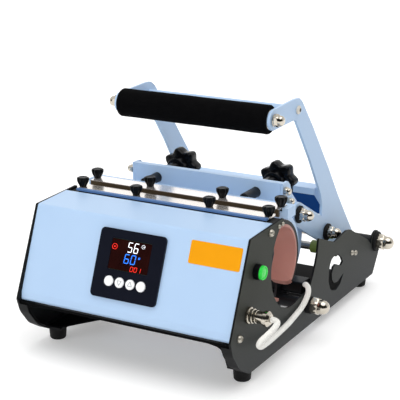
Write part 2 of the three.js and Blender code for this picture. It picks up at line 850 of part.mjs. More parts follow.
const skinDropY = lipRearY + clearance + skinThickness;
const [skinEndY, skinEndZ] = arc(boreY, boreZ, boreRadius + skinThickness, frontPadTopAngle, frontPadTopAngle, 1)[0];
const frontSkin = slab(sheetOutline([
  [frontStripY, lowerStackZ + skinThickness],
  [skinDropY, lowerStackZ + skinThickness, skinThickness * 1.4],
  [skinDropY, skinEndZ + skinThickness],
  [skinEndY + skinThickness, skinEndZ - skinThickness],
].reverse(), skinThickness), -padHalfLength, padHalfLength);
const frontPad = cut(
  join(slab(padRing(frontPadTopAngle, frontPadBottomAngle), -padHalfLength, padHalfLength), frontSkin),
  ...screwHole(lipTopZ - overrun, lipTopZ + overrun * 2, screwRowFrontY),
);
piece(base, 'heating_pad_front', frontPad, padRubber);

const frontStrip = cut(
  box(-stripHalfLength, stripHalfLength, frontStripY, frontStripY + frontStripWidth,
    frontStripZ, frontStripZ + stripThickness),
  ...screwHole(frontStripZ - overrun, frontStripZ + overrun * 2, screwRowFrontY),
);
piece(base, 'front_clamp_strip', frontStrip, chrome);

// Thumb screws: a fluted knob that widens upwards, on a plain shank

function thumbScrew(x, y, seatZ) {
  const level = (z, radius) => lobedRing(radius, screwFluteDepthShare, screwFlutes, 3,
    (u, v) => new THREE.Vector3(x + u, y + v, z));
  const low = seatZ + clearance;
  const knob = loft([
    level(low, screwKnobBase),
    level(low + screwKnobHeight * 0.5, (screwKnobBase + screwKnobTop) / 2),
    level(low + screwKnobHeight * 0.82, screwKnobTop),
    level(low + screwKnobHeight, screwKnobTop * 0.86),
  ]);
  const shank = rodZaxis(screwShankRadius, seatZ - screwDepth, low + screwKnobHeight / 2, x, y, roundSides / 2);
  return knob.add(shank);
}

screwXs.forEach((x, i) => {
  const screw = thumbScrew(x, screwRowFrontY, frontStripZ + stripThickness);
  piece(base, `thumb_screw_front_${i + 1}`, screw, blackPlastic);
});

// Axles with their washers, spacers and cap nuts

function axle(y, z, innerX, washerRadius, washerLength) {
  const face = plateOuterX + clearance;
  const half = [
    [innerX, axleRadius],
    [innerX, spacerRadius],
    [plateInnerX - clearance, spacerRadius],
    [plateInnerX - clearance, axleRadius],
    [face, axleRadius],
    [face, washerRadius],
    [face + washerLength, washerRadius],
  ];
  const rows = [...half.map(([x, r]) => [-x, r]).reverse(), ...half];
  const nuts = sides.map(([, side]) => acornNut(
    face + washerLength - overrun / 8, axleNutRadius, axleNutHexLength, axleNutLength, y, z, side,
  ));
  return join(turnedX(rows, y, z), ...nuts);
}

piece(base, 'rear_axle', axle(rearPivotY, rearPivotZ, jawHalfWidth + clearance, axleWasherRadius,
  axleWasherThickness), chrome);
piece(base, 'jaw_axle', axle(jawPivotY, jawPivotZ, jawHalfWidth + clearance, jawBushRadius,
  jawBushLength), chrome);

// Stop rod with its moulded sleeves, set under the lever arms' lower edge

const kneeToRear = new THREE.Vector2(rearPivotY - kneePivotY, rearPivotZ - kneePivotZ);
const armLength = kneeToRear.length();
const armAlong = kneeToRear.clone().normalize();
const armDown = new THREE.Vector2(armAlong.y, -armAlong.x);
const armHalf = kneeHubRadius + (leverHubRadius - kneeHubRadius) * stopAlongShare;
const stopPoint = new THREE.Vector2(kneePivotY, kneePivotZ)
  .addScaledVector(armAlong, armLength * stopAlongShare)
  .addScaledVector(armDown, armHalf + 2 * clearance + stopSleeveRadius);
const sleeveInnerX = jawHalfWidth - stopSleeveInward;
const sleeveOuterX = jawHalfWidth + stopSleeveOutward;
const stopHalf = [
  [sleeveInnerX, stopRodRadius],
  [sleeveInnerX, stopSleeveRadius],
  [sleeveOuterX, stopSleeveRadius],
  [sleeveOuterX, stopRodRadius],
  [plateInnerX - clearance, stopRodRadius],
];
piece(base, 'stop_rod', turnedX([...stopHalf.map(([x, r]) => [-x, r]).reverse(), ...stopHalf],
  stopPoint.x, stopPoint.y), greenRubber);

// Jaw: end plates, beam, shell, pad and hinge

const jaw = group('jaw');

const jawRise = beamTopZ - jawPivotZ;

// Jaw plate corners: share of the reach from the beam's front, share of the rise from the jaw's
// pivot, corner radius share of the rise.
const jawPlateShares = [
  [0.25, 1, 0.02],
  [0.348, 0.9615, 0.02],
  [0.4554, 0.8708, 0],
  [0.6786, 0.7874, 0],
  [0.8107, 0.7075, 0.05],
  [0.957, 0.5406, 0.1],
  [1, 0.4608, 0.05],
  [0.973, 0.352, 0.1],
  [0.857, 0.2504, 0.1],
  [0.643, 0.1197, 0.1],
  [0.393, 0.018, 0.1],
];

const jawPlateCorners = [
  [beamFrontY, beamTopZ],
  ...jawPlateShares.map(([y, z, r]) => [beamFrontY + y * jawReach, jawPivotZ + z * jawRise, r * jawRise]),
  [jawPivotY, jawPivotZ - jawHubRadius],
  [jawPivotY - jawHubRadius, jawPivotZ],
  ...arc(boreY, boreZ, shellOuter + clearance, jawSeatBottomAngle, jawSeatTopAngle, shellSteps),
  [beamFrontY, beamFootBottomZ],
];

const jawBolts = [
  [beamFrontY + beamDepth / 2, upperBoltZ],
  [lowerBoltY, lowerBoltZ],
];

sides.forEach(([name, side]) => {
  const [x0, x1] = onSide(side, jawHalfWidth - jawPlateThickness, jawHalfWidth);
  const hole = (radius, y, z) => rodX(radius + clearance, x0 - overrun, x1 + overrun, y, z);
  const plate = cut(
    join(slab(rounded(jawPlateCorners), x0, x1), rodX(jawHubRadius, x0, x1, jawPivotY, jawPivotZ)),
    hole(axleRadius, jawPivotY, jawPivotZ),
    hole(linkBoltRadius, jawLinkY, jawLinkZ),
    ...jawBolts.map(([y, z]) => hole(beamBoltRadius, y, z)),
  );
  piece(jaw, `jaw_plate_${name}`, plate, bluePaint);
});

// Beam between the jaw plates, with the feet at its ends and the bolts that hold the plates
const beamHalf = jawHalfWidth - jawPlateThickness - clearance;
const boltFace = jawHalfWidth + clearance;
const beam = cut(
  join(
    box(-beamHalf, beamHalf, beamFrontY, beamFrontY + beamDepth, beamBottomZ, beamTopZ),
    ...sides.map(([, side]) => {
      const [x0, x1] = onSide(side, beamFootInnerX, beamHalf);
      return box(x0, x1, beamFrontY, beamFrontY + beamFootDepth, beamFootBottomZ, beamFootTopZ);
    }),
    ...sides.flatMap(([, side]) => jawBolts.map(([y, z]) => join(
      turnedX([[beamFootInnerX + overrun, beamBoltRadius], [boltFace + overrun / 2, beamBoltRadius]], y, z, side, 12),
      acornNut(boltFace, beamNutRadius, beamNutLength / 2, beamNutLength, y, z, side),
    ))),
  ),
  ...[-rodSpread, rodSpread].map((x) => rodY(rodRadius + clearance, beamFrontY - overrun,
    beamFrontY + beamDepth + overrun, x, rodZ)),
);
piece(jaw, 'beam', beam, bluePaint);

const rim = (side) => {
  const [x0, x1] = onSide(side, shellHalfLength - shellRimThickness, shellHalfLength);
  const points = [
    ...arc(boreY, boreZ, shellOuter - shellThickness / 2, rimTopAngle, rimBottomAngle, padSteps),
    ...arc(boreY, boreZ, shellOuter + shellRimWidth, rimBottomAngle + rimBevelAngle, rimTopAngle, padSteps),
  ].map((p) => new THREE.Vector2(...p));
  return slab(points, x0, x1);
};
const rearShell = join(
  slab(sheetOutline(arc(boreY, boreZ, shellInner, rearShellBottomAngle, rearShellTopAngle, shellSteps).reverse(),
    shellThickness), -shellHalfLength, shellHalfLength),
  rim(1),
  rim(-1),
);
piece(jaw, 'rear_shell', rearShell, bluePaint);

// Rear pad: its lower edge steps down to a tab at the right end
const tabStart = padHalfLength - padTabWidth;
const belowPad = slab([
  [boreY, boreZ],
  ...arc(boreY, boreZ, shellOuter + overrun, rearTabBottomAngle - overrun, rearPadBottomAngle, 2),
].map(([y, z]) => new THREE.Vector2(y, z)), -padHalfLength - overrun, tabStart);
piece(jaw, 'heating_pad_rear', cut(
  slab(padRing(rearPadTopAngle, rearTabBottomAngle), -padHalfLength, padHalfLength),
  belowPad,
), padRubber);

// Cover over the pad's terminals, on the right jaw plate
piece(jaw, 'terminal_cover', slab(rounded([
  [terminalFrontY, terminalBottomZ, terminalCorner],
  [terminalRearY, terminalBottomZ, terminalCorner],
  [terminalRearY, terminalTopZ, terminalCorner],
  [terminalFrontY + terminalCorner, terminalTopZ, terminalCorner],
]), jawHalfWidth + clearance, jawHalfWidth + clearance + terminalLength), blackPlastic);

// The hinge: a tube on the jaw axle between the jaw plates, with a web up to the shell's lower
// edge and a lip behind
const webTop = arc(boreY, boreZ, shellOuter + clearance, hingeTopAngle, hingeTopAngle, 1)[0];
const hinge = cut(
  join(
    rodX(hingeTubeRadius, -beamHalf, beamHalf, jawPivotY, jawPivotZ),
    slab(sheetOutline([
      [webTop[0] + clearance, webTop[1] - clearance],
      [jawPivotY + hingeTubeRadius / 3, jawPivotZ + hingeTubeRadius / 2],
    ], hingeWebThickness), -beamHalf, beamHalf),
    slab(sheetOutline([
      [jawPivotY + hingeTubeRadius / 4, jawPivotZ - hingeTubeRadius / 2],
      [hingeHeelY, jawPivotZ + hingeTubeRadius / 6, hingeWebThickness * 1.5],
      [hingeHeelY, hingeHeelZ],
    ], hingeWebThickness), -beamHalf, beamHalf),
  ),
  rodX(axleRadius + clearance, -beamHalf - overrun, beamHalf + overrun, jawPivotY, jawPivotZ),
);
piece(jaw, 'jaw_hinge', hinge, blackPaint);

// Star knobs on the jaw: a sleeve against the beam and a lobed head

const knobBoreEnd = rodSleeveEndY + barTravel + clearance;
[['left', -1], ['right', 1]].forEach(([name, side]) => {
  const x = side * rodSpread;
  const ring = (y, radius) => lobedRing(radius, starLobeShare, starLobes, 6,
    (u, v) => new THREE.Vector3(x + u, y, rodZ + v));
  const head = loft([
    ring(starFrontY, starRadius * 0.9),
    ring(starFrontY + starEdge, starRadius),
    ring(starFrontY + starThickness - starEdge, starRadius),
    ring(starFrontY + starThickness, starRadius * 0.82),
  ]);
  const knob = cut(
    head.add(rodY(starHubRadius, beamFrontY + beamDepth + clearance, starFrontY + starEdge, x, rodZ)),
    rodY(rodRadius + clearance, beamFrontY, knobBoreEnd, x, rodZ),
    rodY(threadRadius + clearance, beamFrontY, rodEndY + barTravel + clearance, x, rodZ),
  );
  piece(jaw, `star_knob_${name}`, knob, blackPlastic);
});

// Clamp bar, which the adjusters draw along y, with its strip and thumb screws

const clamp = group('clamp');
const barSeatZ = barTopZ - barStep;
const rearStackZ = barSeatZ + clearance;
const rearStripTop = rearStackZ + skinThickness + clearance + stripThickness;
const bar = cut(
  box(-barHalfLength, barHalfLength, barFrontY, barFrontY + barDepth, barBottomZ, barTopZ),
  box(-stripHalfLength - clearance, stripHalfLength + clearance, barFrontY - overrun,
    rearStripY + rearStripWidth + clearance, barSeatZ, barTopZ + overrun),
  ...screwHole(rearStripTop - screwDepth - clearance * 2, barTopZ + overrun, screwRowRearY),
);
piece(clamp, 'clamp_bar', bar, bluePaint);

const rearStrip = cut(
  join(
    box(-stripHalfLength, stripHalfLength, rearStripY, rearStripY + rearStripWidth,
      rearStripTop - stripThickness, rearStripTop),
    box(-stripHalfLength, stripHalfLength, rearStripY, rearStripY + rearStripLegThickness,
      rearStripTop - rearStripLeg, rearStripTop),
  ),
  ...screwHole(rearStripTop - overrun, rearStripTop + overrun, screwRowRearY),
);
piece(clamp, 'rear_clamp_strip', rearStrip, chrome);

screwXs.forEach((x, i) => {
  piece(clamp, `thumb_screw_rear_${i + 1}`, thumbScrew(x, screwRowRearY, rearStripTop), blackPlastic);
});

sides.forEach(([name, side]) => {
  const rod = turnedY([
    [barFrontY + barDepth + clearance, rodRadius],
    [rodSleeveEndY, rodRadius],
    [rodSleeveEndY, threadRadius],
    [rodEndY, threadRadius],
  ], side * rodSpread, rodZ);
  piece(clamp, `adjuster_rod_${name}`, rod, blackPlastic);
});

// Links and their bolts

const links = group('links');

// Outline of a plate round two hubs, each [y, z, radius], with straight tangents between them.
function twoHubs([y0, z0, r0], [y1, z1, r1]) {
  const lean = Math.atan2(z1 - z0, y1 - y0);
  const open = Math.acos((r0 - r1) / Math.hypot(y1 - y0, z1 - z0));
  const degrees = THREE.MathUtils.radToDeg;
  return [
    ...arc(y0, z0, r0, degrees(lean + open), degrees(lean - open) + fullTurnAngle, 12),
    ...arc(y1, z1, r1, degrees(lean - open), degrees(lean + open), 12),
  ].map((p) => new THREE.Vector2(...p));
}

const linkInner = jawHalfWidth + clearance;
const linkOuter = linkInner + linkThickness;
sides.forEach(([name, side]) => {
  const [x0, x1] = onSide(side, linkInner, linkOuter);
  const hole = (y, z) => rodX(linkBoltRadius + clearance, x0 - overrun, x1 + overrun, y, z);
  const plate = cut(
    slab(twoHubs([jawLinkY, jawLinkZ, linkRadius], [kneePivotY, kneePivotZ, linkRadius]), x0, x1),
    hole(jawLinkY, jawLinkZ),
    hole(kneePivotY, kneePivotZ),
  );
  piece(links, `link_${name}`, plate, bluePaint);
  const washer = linkOuter + clearance;
  const nutStart = washer + linkWasherThickness;
  const bolt = (y, z, rows) => join(
    turnedX([...rows, [washer, linkBoltRadius], [washer, linkWasherRadius], [nutStart, linkWasherRadius]], y, z, side),
    acornNut(nutStart - overrun / 8, linkNutRadius, linkNutHexLength, linkNutLength, y, z, side),
  );
  const armInner = jawHalfWidth - jawPlateThickness - clearance;
  piece(links, `knee_bolt_${name}`, bolt(kneePivotY, kneePivotZ, [
    [armInner - linkHeadLength, linkHeadRadius],
    [armInner, linkHeadRadius],
    [armInner, linkBoltRadius],
  ]), chrome);
  piece(links, `jaw_link_bolt_${name}`, bolt(jawLinkY, jawLinkZ, [[linkInner, linkBoltRadius]]), chrome);
});

// Lever: two arms, the tie between them and the grip

const lever = group('lever');

// The lever's elbow and its long edges: shares of the reach from the grip to the rear pivot, and
// of the lever's rise over the rear pivot behind, and over the knee pivot inside.
const leverReach = rearPivotY - gripY;
const leverRearShares = [
  [0.225, 1, 0],
  [0.2815, 0.9968, 0.038],
  [0.3197, 0.9696, 0.038],
  [0.4531, 0.8046, 0],
  [0.6735, 0.509, 0],
  [0.8038, 0.3215, 0],
  [0.9312, 0.1552, 0],
];
const leverInnerShares = [
  [0.5924, 0.1129, 0.0453],
  [0.5966, 0.1846, 0.0604],
  [0.578, 0.2666, 0.0453],
  [0.4233, 0.5621, 0],
  [0.2429, 0.8678, 0.0528],
];
const overPivot = (pivotZ) => ([y, z, radius]) => {
  const rise = leverHeight - pivotZ;
  return [gripY + y * leverReach, pivotZ + z * rise, radius * rise];
};

// Where the arm's outline meets its hubs, in degrees counted from the rear upwards
const hubRearAngle = 38;
const hubUnderAngle = -110;
const hubFrontAngle = -180;
const eyeUnderAngle = -88;
const eyeTopAngle = -268;
const armOutline = rounded([
  ...arc(gripY, gripZ, gripEyeRadius, eyeUnderAngle, eyeTopAngle, 10),
  ...leverRearShares.map(overPivot(rearPivotZ)),
  ...arc(rearPivotY, rearPivotZ, leverHubRadius, hubRearAngle, hubUnderAngle, 7),
  ...arc(kneePivotY, kneePivotZ, kneeHubRadius, hubUnderAngle, hubFrontAngle, 6),
  ...leverInnerShares.map(overPivot(kneePivotZ)),
]);
const tieY = gripY + tieReachShare * leverReach;
const tieZ = leverHeight - tieDrop;

const armInnerX = jawHalfWidth - jawPlateThickness;
sides.forEach(([name, side]) => {
  const [x0, x1] = onSide(side, armInnerX, jawHalfWidth);
  const hole = (radius, y, z) => rodX(radius + clearance, x0 - overrun, x1 + overrun, y, z);
  const arm = cut(
    slab(armOutline, x0, x1),
    hole(axleRadius, rearPivotY, rearPivotZ),
    hole(linkBoltRadius, kneePivotY, kneePivotZ),
    hole(gripNeckRadius, gripY, gripZ),
    hole(tieBoltRadius, tieY, tieZ),
  );
  piece(lever, `lever_arm_${name}`, arm, bluePaint);
});

const betweenArms = armInnerX - clearance;
const tieFace = jawHalfWidth + clearance;
const tieHalf = [
  [betweenArms, tieRadius],
  [betweenArms, tieBoltRadius],
  [tieFace, tieBoltRadius],
  [tieFace, tieHeadRadius],
  [tieFace + tieHeadLength / 2, tieHeadRadius],
  [tieFace + tieHeadLength, tieHeadRadius / 2],
];
piece(lever, 'lever_tie', turnedX([...tieHalf.map(([x, r]) => [-x, r]).reverse(), ...tieHalf], tieY, tieZ),
  bluePaint);

const gripFace = jawHalfWidth + clearance;
const gripHalf = [
  [betweenArms, gripBarRadius],
  [betweenArms, gripNeckRadius],
  [gripFace, gripNeckRadius],
];
const gripBar = join(
  turnedX([...gripHalf.map(([x, r]) => [-x, r]).reverse(), ...gripHalf], gripY, gripZ),
  ...sides.map(([, side]) => acornNut(gripFace, gripNutRadius, gripNutLength / 2, gripNutLength, gripY, gripZ, side)),
);
piece(lever, 'grip_bar', gripBar, chrome);

const foamEnd = armInnerX - foamGap;
const foam = cut(
  turnedX([
    [-foamEnd, foamRadius - foamEdge],
    [-foamEnd + foamEdge * 0.4, foamRadius - foamEdge * 0.3],
    [-foamEnd + foamEdge, foamRadius],
    [foamEnd - foamEdge, foamRadius],
    [foamEnd - foamEdge * 0.4, foamRadius - foamEdge * 0.3],
    [foamEnd, foamRadius - foamEdge],
  ], gripY, gripZ),
  rodX(gripBarRadius + clearance, -foamEnd - overrun, foamEnd + overrun, gripY, gripZ),
);
piece(lever, 'foam_grip', foam, blackFoam);

// The origin is on the table under the middle of the press, without its loose cable.
press.updateMatrixWorld(true);
const extent = new THREE.Box3();
press.traverse((part) => {
  if (part.isMesh && part.name !== 'heater_cable' && part.name !== 'heater_plug') extent.expandByObject(part, true);
});
const middle = extent.getCenter(new THREE.Vector3());
press.position.set(-middle.x, -middle.y, -extent.min.z);
press.updateMatrixWorld(true);

export default press;
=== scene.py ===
# Cylindrical heat press for tumblers: its finishes, cable, pads, knobs, nuts and small details.
# Sizes are in millimetres and are turned to metres by at() and MM. x runs right, y to the rear from the
# front top corner of the side plates, and z up from the table.
from math import cos, pi, radians, sin, sqrt

import bpy
from mathutils import Matrix, Vector


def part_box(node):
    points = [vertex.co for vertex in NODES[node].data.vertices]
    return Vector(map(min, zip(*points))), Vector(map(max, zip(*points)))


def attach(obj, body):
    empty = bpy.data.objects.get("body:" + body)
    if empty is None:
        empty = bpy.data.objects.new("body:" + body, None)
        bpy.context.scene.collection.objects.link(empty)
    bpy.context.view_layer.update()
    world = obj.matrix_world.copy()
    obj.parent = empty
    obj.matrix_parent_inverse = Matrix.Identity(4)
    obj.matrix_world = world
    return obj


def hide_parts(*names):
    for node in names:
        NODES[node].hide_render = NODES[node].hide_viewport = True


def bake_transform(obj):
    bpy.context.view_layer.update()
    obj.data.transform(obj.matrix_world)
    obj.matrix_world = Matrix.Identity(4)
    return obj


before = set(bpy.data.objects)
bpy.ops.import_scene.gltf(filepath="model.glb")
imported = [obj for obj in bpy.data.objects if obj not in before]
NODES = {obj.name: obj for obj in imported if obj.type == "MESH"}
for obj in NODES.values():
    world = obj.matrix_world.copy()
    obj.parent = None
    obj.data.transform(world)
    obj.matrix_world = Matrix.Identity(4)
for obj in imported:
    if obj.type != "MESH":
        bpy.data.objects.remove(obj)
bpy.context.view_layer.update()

MM = 0.001
OVERLAP = 0.2  # how far joined solids of one piece reach into each other
STEPS = 72  # facets round a turned piece
SMOOTH_ANGLE = 32  # degrees; a sharper edge is left sharp
WHOLE_TURN = 2 * pi
HEXAGON_STEP = pi / 3

# Pivots and seats, seen from the side
REAR_Y, REAR_Z = 359, 57.5
JAW_Y, JAW_Z = 146, 43.5
KNEE_Y, KNEE_Z = 265.5, 92.5
JAW_LINK_Y, JAW_LINK_Z = 181, 138
BORE_Y, BORE_Z = 104, 104
BORE_RADIUS = 41
GRIP_Y, GRIP_Z = 123.5, 260.7
PLATE_FACE = 135  # outer face of a side plate
PLATE_THICKNESS = 2.5
JAW_FACE = 100  # outer face of a jaw plate and a lever arm
GAP = 0.3
SEAT_X = PLATE_FACE + GAP  # what is mounted on a side plate sits here
PAD_HALF = 120
REAR_STRIP_TOP_Z = 170.3
ROD_SPREAD, ROD_Z = 65.7, 167  # adjuster rods, with the star knobs on them
SIDES = (("left", -1), ("right", 1))

lowest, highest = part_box("rear_axle")
SHIFT_Y = (lowest[1] + highest[1]) / 2 - REAR_Y * MM
lowest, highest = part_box("lever_tie")
TIE_Y = (lowest[1] + highest[1]) / 2 / MM - SHIFT_Y / MM
TIE_Z = (lowest[2] + highest[2]) / 2 / MM


def at(x, y, z):
    """A place on the press, in the frame's metres."""
    return Vector((x * MM, y * MM + SHIFT_Y, z * MM))


# Camera and stage

CAMERA_PLACE = (684.2, -1105.7, 576.4)
CAMERA_LOOK = (-0.4621, 0.8391, -0.2870)
CAMERA_LENS = 114.2
SENSOR = 36
FLOOR_HALF = 12.0  # metres
# Name, where the lamp stands, its strength and whether it casts a shadow and shows in gloss
LAMPS = (
    ("overhead", (0.25, -0.14, 0.96), 1.3, True),
    ("front_fill", (-0.3, -0.92, 0.22), 1.6, False),
    ("side_fill", (0.94, -0.1, 0.2), 0.22, False),
)
LAMP_WIDTH = 60  # degrees
ROOM_BRIGHT = 0.86
ROOM_DARK = 0.03
ROOM_FRONT = (0.48, -0.87, 0.12)  # the dim side of the studio, behind the camera
# How squarely a direction faces the dim side, where the room starts to dim and where it is dark
DIM_FROM, DIM_TO = 0.1, 0.5
# How steeply a direction rises, where the bright ceiling starts and where it is full
CEILING_FROM, CEILING_TO = 0.8, 0.92
# How squarely a direction faces the dim side, where the far wall starts to glow and where it is full
FAR_WALL_FROM, FAR_WALL_TO = -0.7, -0.95
FAR_WALL_GLOW = 0.5
FLOOR_GLOW = 0.3


def add(tree, kind, inputs=None, **settings):
    """Adds one node, with its settings and its inputs, which are values, sockets or lists of sockets."""
    node = tree.nodes.new(kind)
    for name, value in settings.items():
        setattr(node, name, value)
    for key, value in (inputs or {}).items():
        for each in value if isinstance(value, list) else [value]:
            if isinstance(each, bpy.types.NodeSocket):
                tree.links.new(each, node.inputs[key])
            else:
                node.inputs[key].default_value = each
    return node


def colour(text):
    """An sRGB hex colour as linear RGBA."""
    parts = [int(text[i:i + 2], 16) / 255 for i in (0, 2, 4)]
    return tuple(c / 12.92 if c <= 0.04045 else ((c + 0.055) / 1.055) ** 2.4 for c in parts) + (1.0,)


def new_mesh(name, points, faces=()):
    mesh = bpy.data.meshes.new(name)
    mesh.from_pydata(points, [], faces)
    return mesh


def link_object(name, data):
    thing = bpy.data.objects.new(name, data)
    bpy.context.scene.collection.objects.link(thing)
    return thing


def make_camera():
    lens = bpy.data.cameras.new("camera")
    lens.lens = CAMERA_LENS
    lens.sensor_width = SENSOR
    lens.clip_end = 100
    camera = link_object("camera", lens)
    camera.location = at(*CAMERA_PLACE)
    camera.rotation_euler = Vector(CAMERA_LOOK).to_track_quat("-Z", "Y").to_euler()
    bpy.context.scene.camera = camera


def make_light():
    for name, way, strength, full in LAMPS:
        sun = bpy.data.lights.new(name, "SUN")
        sun.energy = strength
        sun.angle = radians(LAMP_WIDTH)
        sun.use_shadow = full
        lamp = link_object(name, sun)
        lamp.visible_glossy = full
        lamp.rotation_euler = (-Vector(way)).to_track_quat("-Z", "Y").to_euler()

    world = bpy.data.worlds.new("studio")
    bpy.context.scene.world = world
    world.use_nodes = True
    tree = world.node_tree
    tree.nodes.clear()
    # A white room that is dim behind the camera, so plated metal shows a dark band.
    ray = add(tree, "ShaderNodeLightPath")
    way = add(tree, "ShaderNodeTexCoord")
    facing = add(tree, "ShaderNodeVectorMath", {
        0: way.outputs["Generated"], 1: Vector(ROOM_FRONT).normalized()}, operation="DOT_PRODUCT")
    level = add(tree, "ShaderNodeMapRange", {
        0: facing.outputs["Value"], 1: DIM_FROM, 2: DIM_TO, 3: ROOM_BRIGHT, 4: ROOM_DARK},
        interpolation_type="SMOOTHSTEP")
    height = add(tree, "ShaderNodeSeparateXYZ", {0: way.outputs["Generated"]})
    ceiling = add(tree, "ShaderNodeMapRange", {
        0: height.outputs["Z"], 1: CEILING_FROM, 2: CEILING_TO, 3: 0.0, 4: ROOM_BRIGHT},
        interpolation_type="SMOOTHSTEP")
    brighter = add(tree, "ShaderNodeMath", {0: level.outputs[0], 1: ceiling.outputs[0]}, operation="MAXIMUM")
    far_wall = add(tree, "ShaderNodeMapRange", {
        0: facing.outputs["Value"], 1: FAR_WALL_FROM, 2: FAR_WALL_TO, 3: 0.0, 4: FAR_WALL_GLOW},
        interpolation_type="SMOOTHSTEP")
    total = add(tree, "ShaderNodeMath", {0: brighter.outputs[0], 1: far_wall.outputs[0]}, operation="ADD")
    room = add(tree, "ShaderNodeBackground", {0: colour("ffffff"), 1: total.outputs[0]})
    backdrop = add(tree, "ShaderNodeBackground", {0: colour("ffffff"), 1: 1.0})
    seen = add(tree, "ShaderNodeMath", {
        0: ray.outputs["Is Camera Ray"], 1: ray.outputs["Is Transmission Ray"]}, operation="MAXIMUM")
    both = add(tree, "ShaderNodeMixShader", {0: seen.outputs[0], 1: room.outputs[0], 2: backdrop.outputs[0]})
    add(tree, "ShaderNodeOutputWorld", {0: both.outputs[0]})


def make_floor():
    """A pale paper floor that keeps the soft shadow and goes to white around it."""
    paper = bpy.data.materials.new("white_paper_floor")
    paper.use_nodes = True
    tree = paper.node_tree
    tree.nodes.clear()
    ray = add(tree, "ShaderNodeLightPath")
    diffuse = add(tree, "ShaderNodeBsdfDiffuse", {0: colour("eeeeee")})
    seen = add(tree, "ShaderNodeMath", {
        0: ray.outputs["Is Camera Ray"], 1: ray.outputs["Is Glossy Ray"]}, operation="MAXIMUM")
    strength = add(tree, "ShaderNodeMath", {0: seen.outputs[0], 1: FLOOR_GLOW}, operation="MULTIPLY")
    glow = add(tree, "ShaderNodeEmission", {0: colour("ffffff"), 1: strength.outputs[0]})
    total = add(tree, "ShaderNodeAddShader", {0: diffuse.outputs[0], 1: glow.outputs[0]})
    add(tree, "ShaderNodeOutputMaterial", {0: total.outputs[0]})
    f = FLOOR_HALF
    floor = new_mesh("floor", [(-f, -f, 0), (f, -f, 0), (f, f, 0), (-f, f, 0)], [(0, 1, 2, 3)])
    floor.materials.append(paper)
    link_object("floor", floor)


# Materials

NOISE_LOW, NOISE_HIGH = 0.3, 0.7  # nearly all of a noise texture lies between these
LEAST_ROUGHNESS = 0.02
GRAIN_STRENGTH = 0.6
LIT_STRENGTH = 0.9  # glow of the display's bars
LIT_WEAKEST = 0.85  # the glow's weakest patches, as a share of its strength
BRAID_SCALE = (0.5, 0.3, 1.0)  # along and round the cable, in its own steps and sides
SLEEVE_INNER_X, SLEEVE_OUTER_X = 78, 112  # ends of the green sleeves on the stop rod


def surface(name, shade, tint, roughness, grain, depth, metallic=0.0, patch=40, spread=0.04,
            stretch=(1, 1, 1), shine=0.5):
    """A finish whose colour drifts softly from shade to tint in patches, with a bump of a real grain.

    grain, depth and patch are in millimetres, spread is how far the roughness wanders, and shine is the
    strength of the gloss at a straight look.
    """
    material = bpy.data.materials.new(name)
    material.use_nodes = True
    tree = material.node_tree
    tree.nodes.clear()
    place = add(tree, "ShaderNodeTexCoord")
    drawn = add(tree, "ShaderNodeMapping", {"Vector": place.outputs["Object"], "Scale": stretch})
    drift = add(tree, "ShaderNodeTexNoise", {
        "Vector": place.outputs["Object"], "Scale": 1 / (patch * MM), "Detail": 2.0})
    fine = add(tree, "ShaderNodeTexNoise", {
        "Vector": drawn.outputs[0], "Scale": 1 / (grain * MM), "Detail": 3.0, "Roughness": 0.6})
    mixed = add(tree, "ShaderNodeMix", {
        0: drift.outputs[0], 6: colour(shade), 7: colour(tint)}, data_type="RGBA")
    gloss = add(tree, "ShaderNodeMapRange", {
        0: fine.outputs[0], 1: NOISE_LOW, 2: NOISE_HIGH,
        3: max(LEAST_ROUGHNESS, roughness - spread), 4: roughness + spread})
    bump = add(tree, "ShaderNodeBump", {
        "Height": fine.outputs[0], "Strength": GRAIN_STRENGTH, "Distance": depth * MM})
    shader = add(tree, "ShaderNodeBsdfPrincipled", {
        "Base Color": mixed.outputs[2], "Roughness": gloss.outputs[0], "Normal": bump.outputs[0],
        "Metallic": metallic, "Specular IOR Level": shine})
    add(tree, "ShaderNodeOutputMaterial", {0: shader.outputs[0]})
    return material


def shader_of(material):
    return next(n for n in material.node_tree.nodes if n.type == "BSDF_PRINCIPLED")


def place_of(material):
    return next(n for n in material.node_tree.nodes if n.type == "TEX_COORD").outputs["Object"]


def zone(material, mask, shade, roughness=None, metallic=None):
    """Paints one zone of a material, where mask is 1, in another colour, gloss and metal."""
    tree = material.node_tree
    shader = shader_of(material)
    before = shader.inputs["Base Color"].links[0].from_socket
    mixed = add(tree, "ShaderNodeMix", {0: mask, 6: before, 7: colour(shade)}, data_type="RGBA")
    tree.links.new(mixed.outputs[2], shader.inputs["Base Color"])
    if roughness is not None:
        rough = add(tree, "ShaderNodeMix", {
            0: mask, 2: shader.inputs["Roughness"].links[0].from_socket, 3: roughness})
        tree.links.new(rough.outputs[0], shader.inputs["Roughness"])
    if metallic is not None:
        metal = add(tree, "ShaderNodeMix", {
            0: mask, 2: shader.inputs["Metallic"].default_value, 3: metallic})
        tree.links.new(metal.outputs[0], shader.inputs["Metallic"])
    return material


def reach(material, x=0.0, y=0.0, z=0.0, centre=(0, 0, 0)):
    """Distance from a point of the press, counted only along the axes whose weight isn't zero, in metres."""
    tree = material.node_tree
    from_centre = add(tree, "ShaderNodeVectorMath", {
        0: place_of(material), 1: at(*centre)}, operation="SUBTRACT")
    weighed = add(tree, "ShaderNodeVectorMath", {
        0: from_centre.outputs[0], 1: (x, y, z)}, operation="MULTIPLY")
    return add(tree, "ShaderNodeVectorMath", {0: weighed.outputs[0]}, operation="LENGTH").outputs["Value"]


def height_of(material):
    tree = material.node_tree
    return add(tree, "ShaderNodeSeparateXYZ", {0: place_of(material)}).outputs["Z"]


def beyond(material, value, limit, soft=0.1, under=0.0, over=1.0):
    """1 where value is over limit, which is in millimetres like soft, and 0 below."""
    return add(material.node_tree, "ShaderNodeMapRange", {
        0: value, 1: (limit - soft) * MM, 2: (limit + soft) * MM, 3: under, 4: over}).outputs[0]


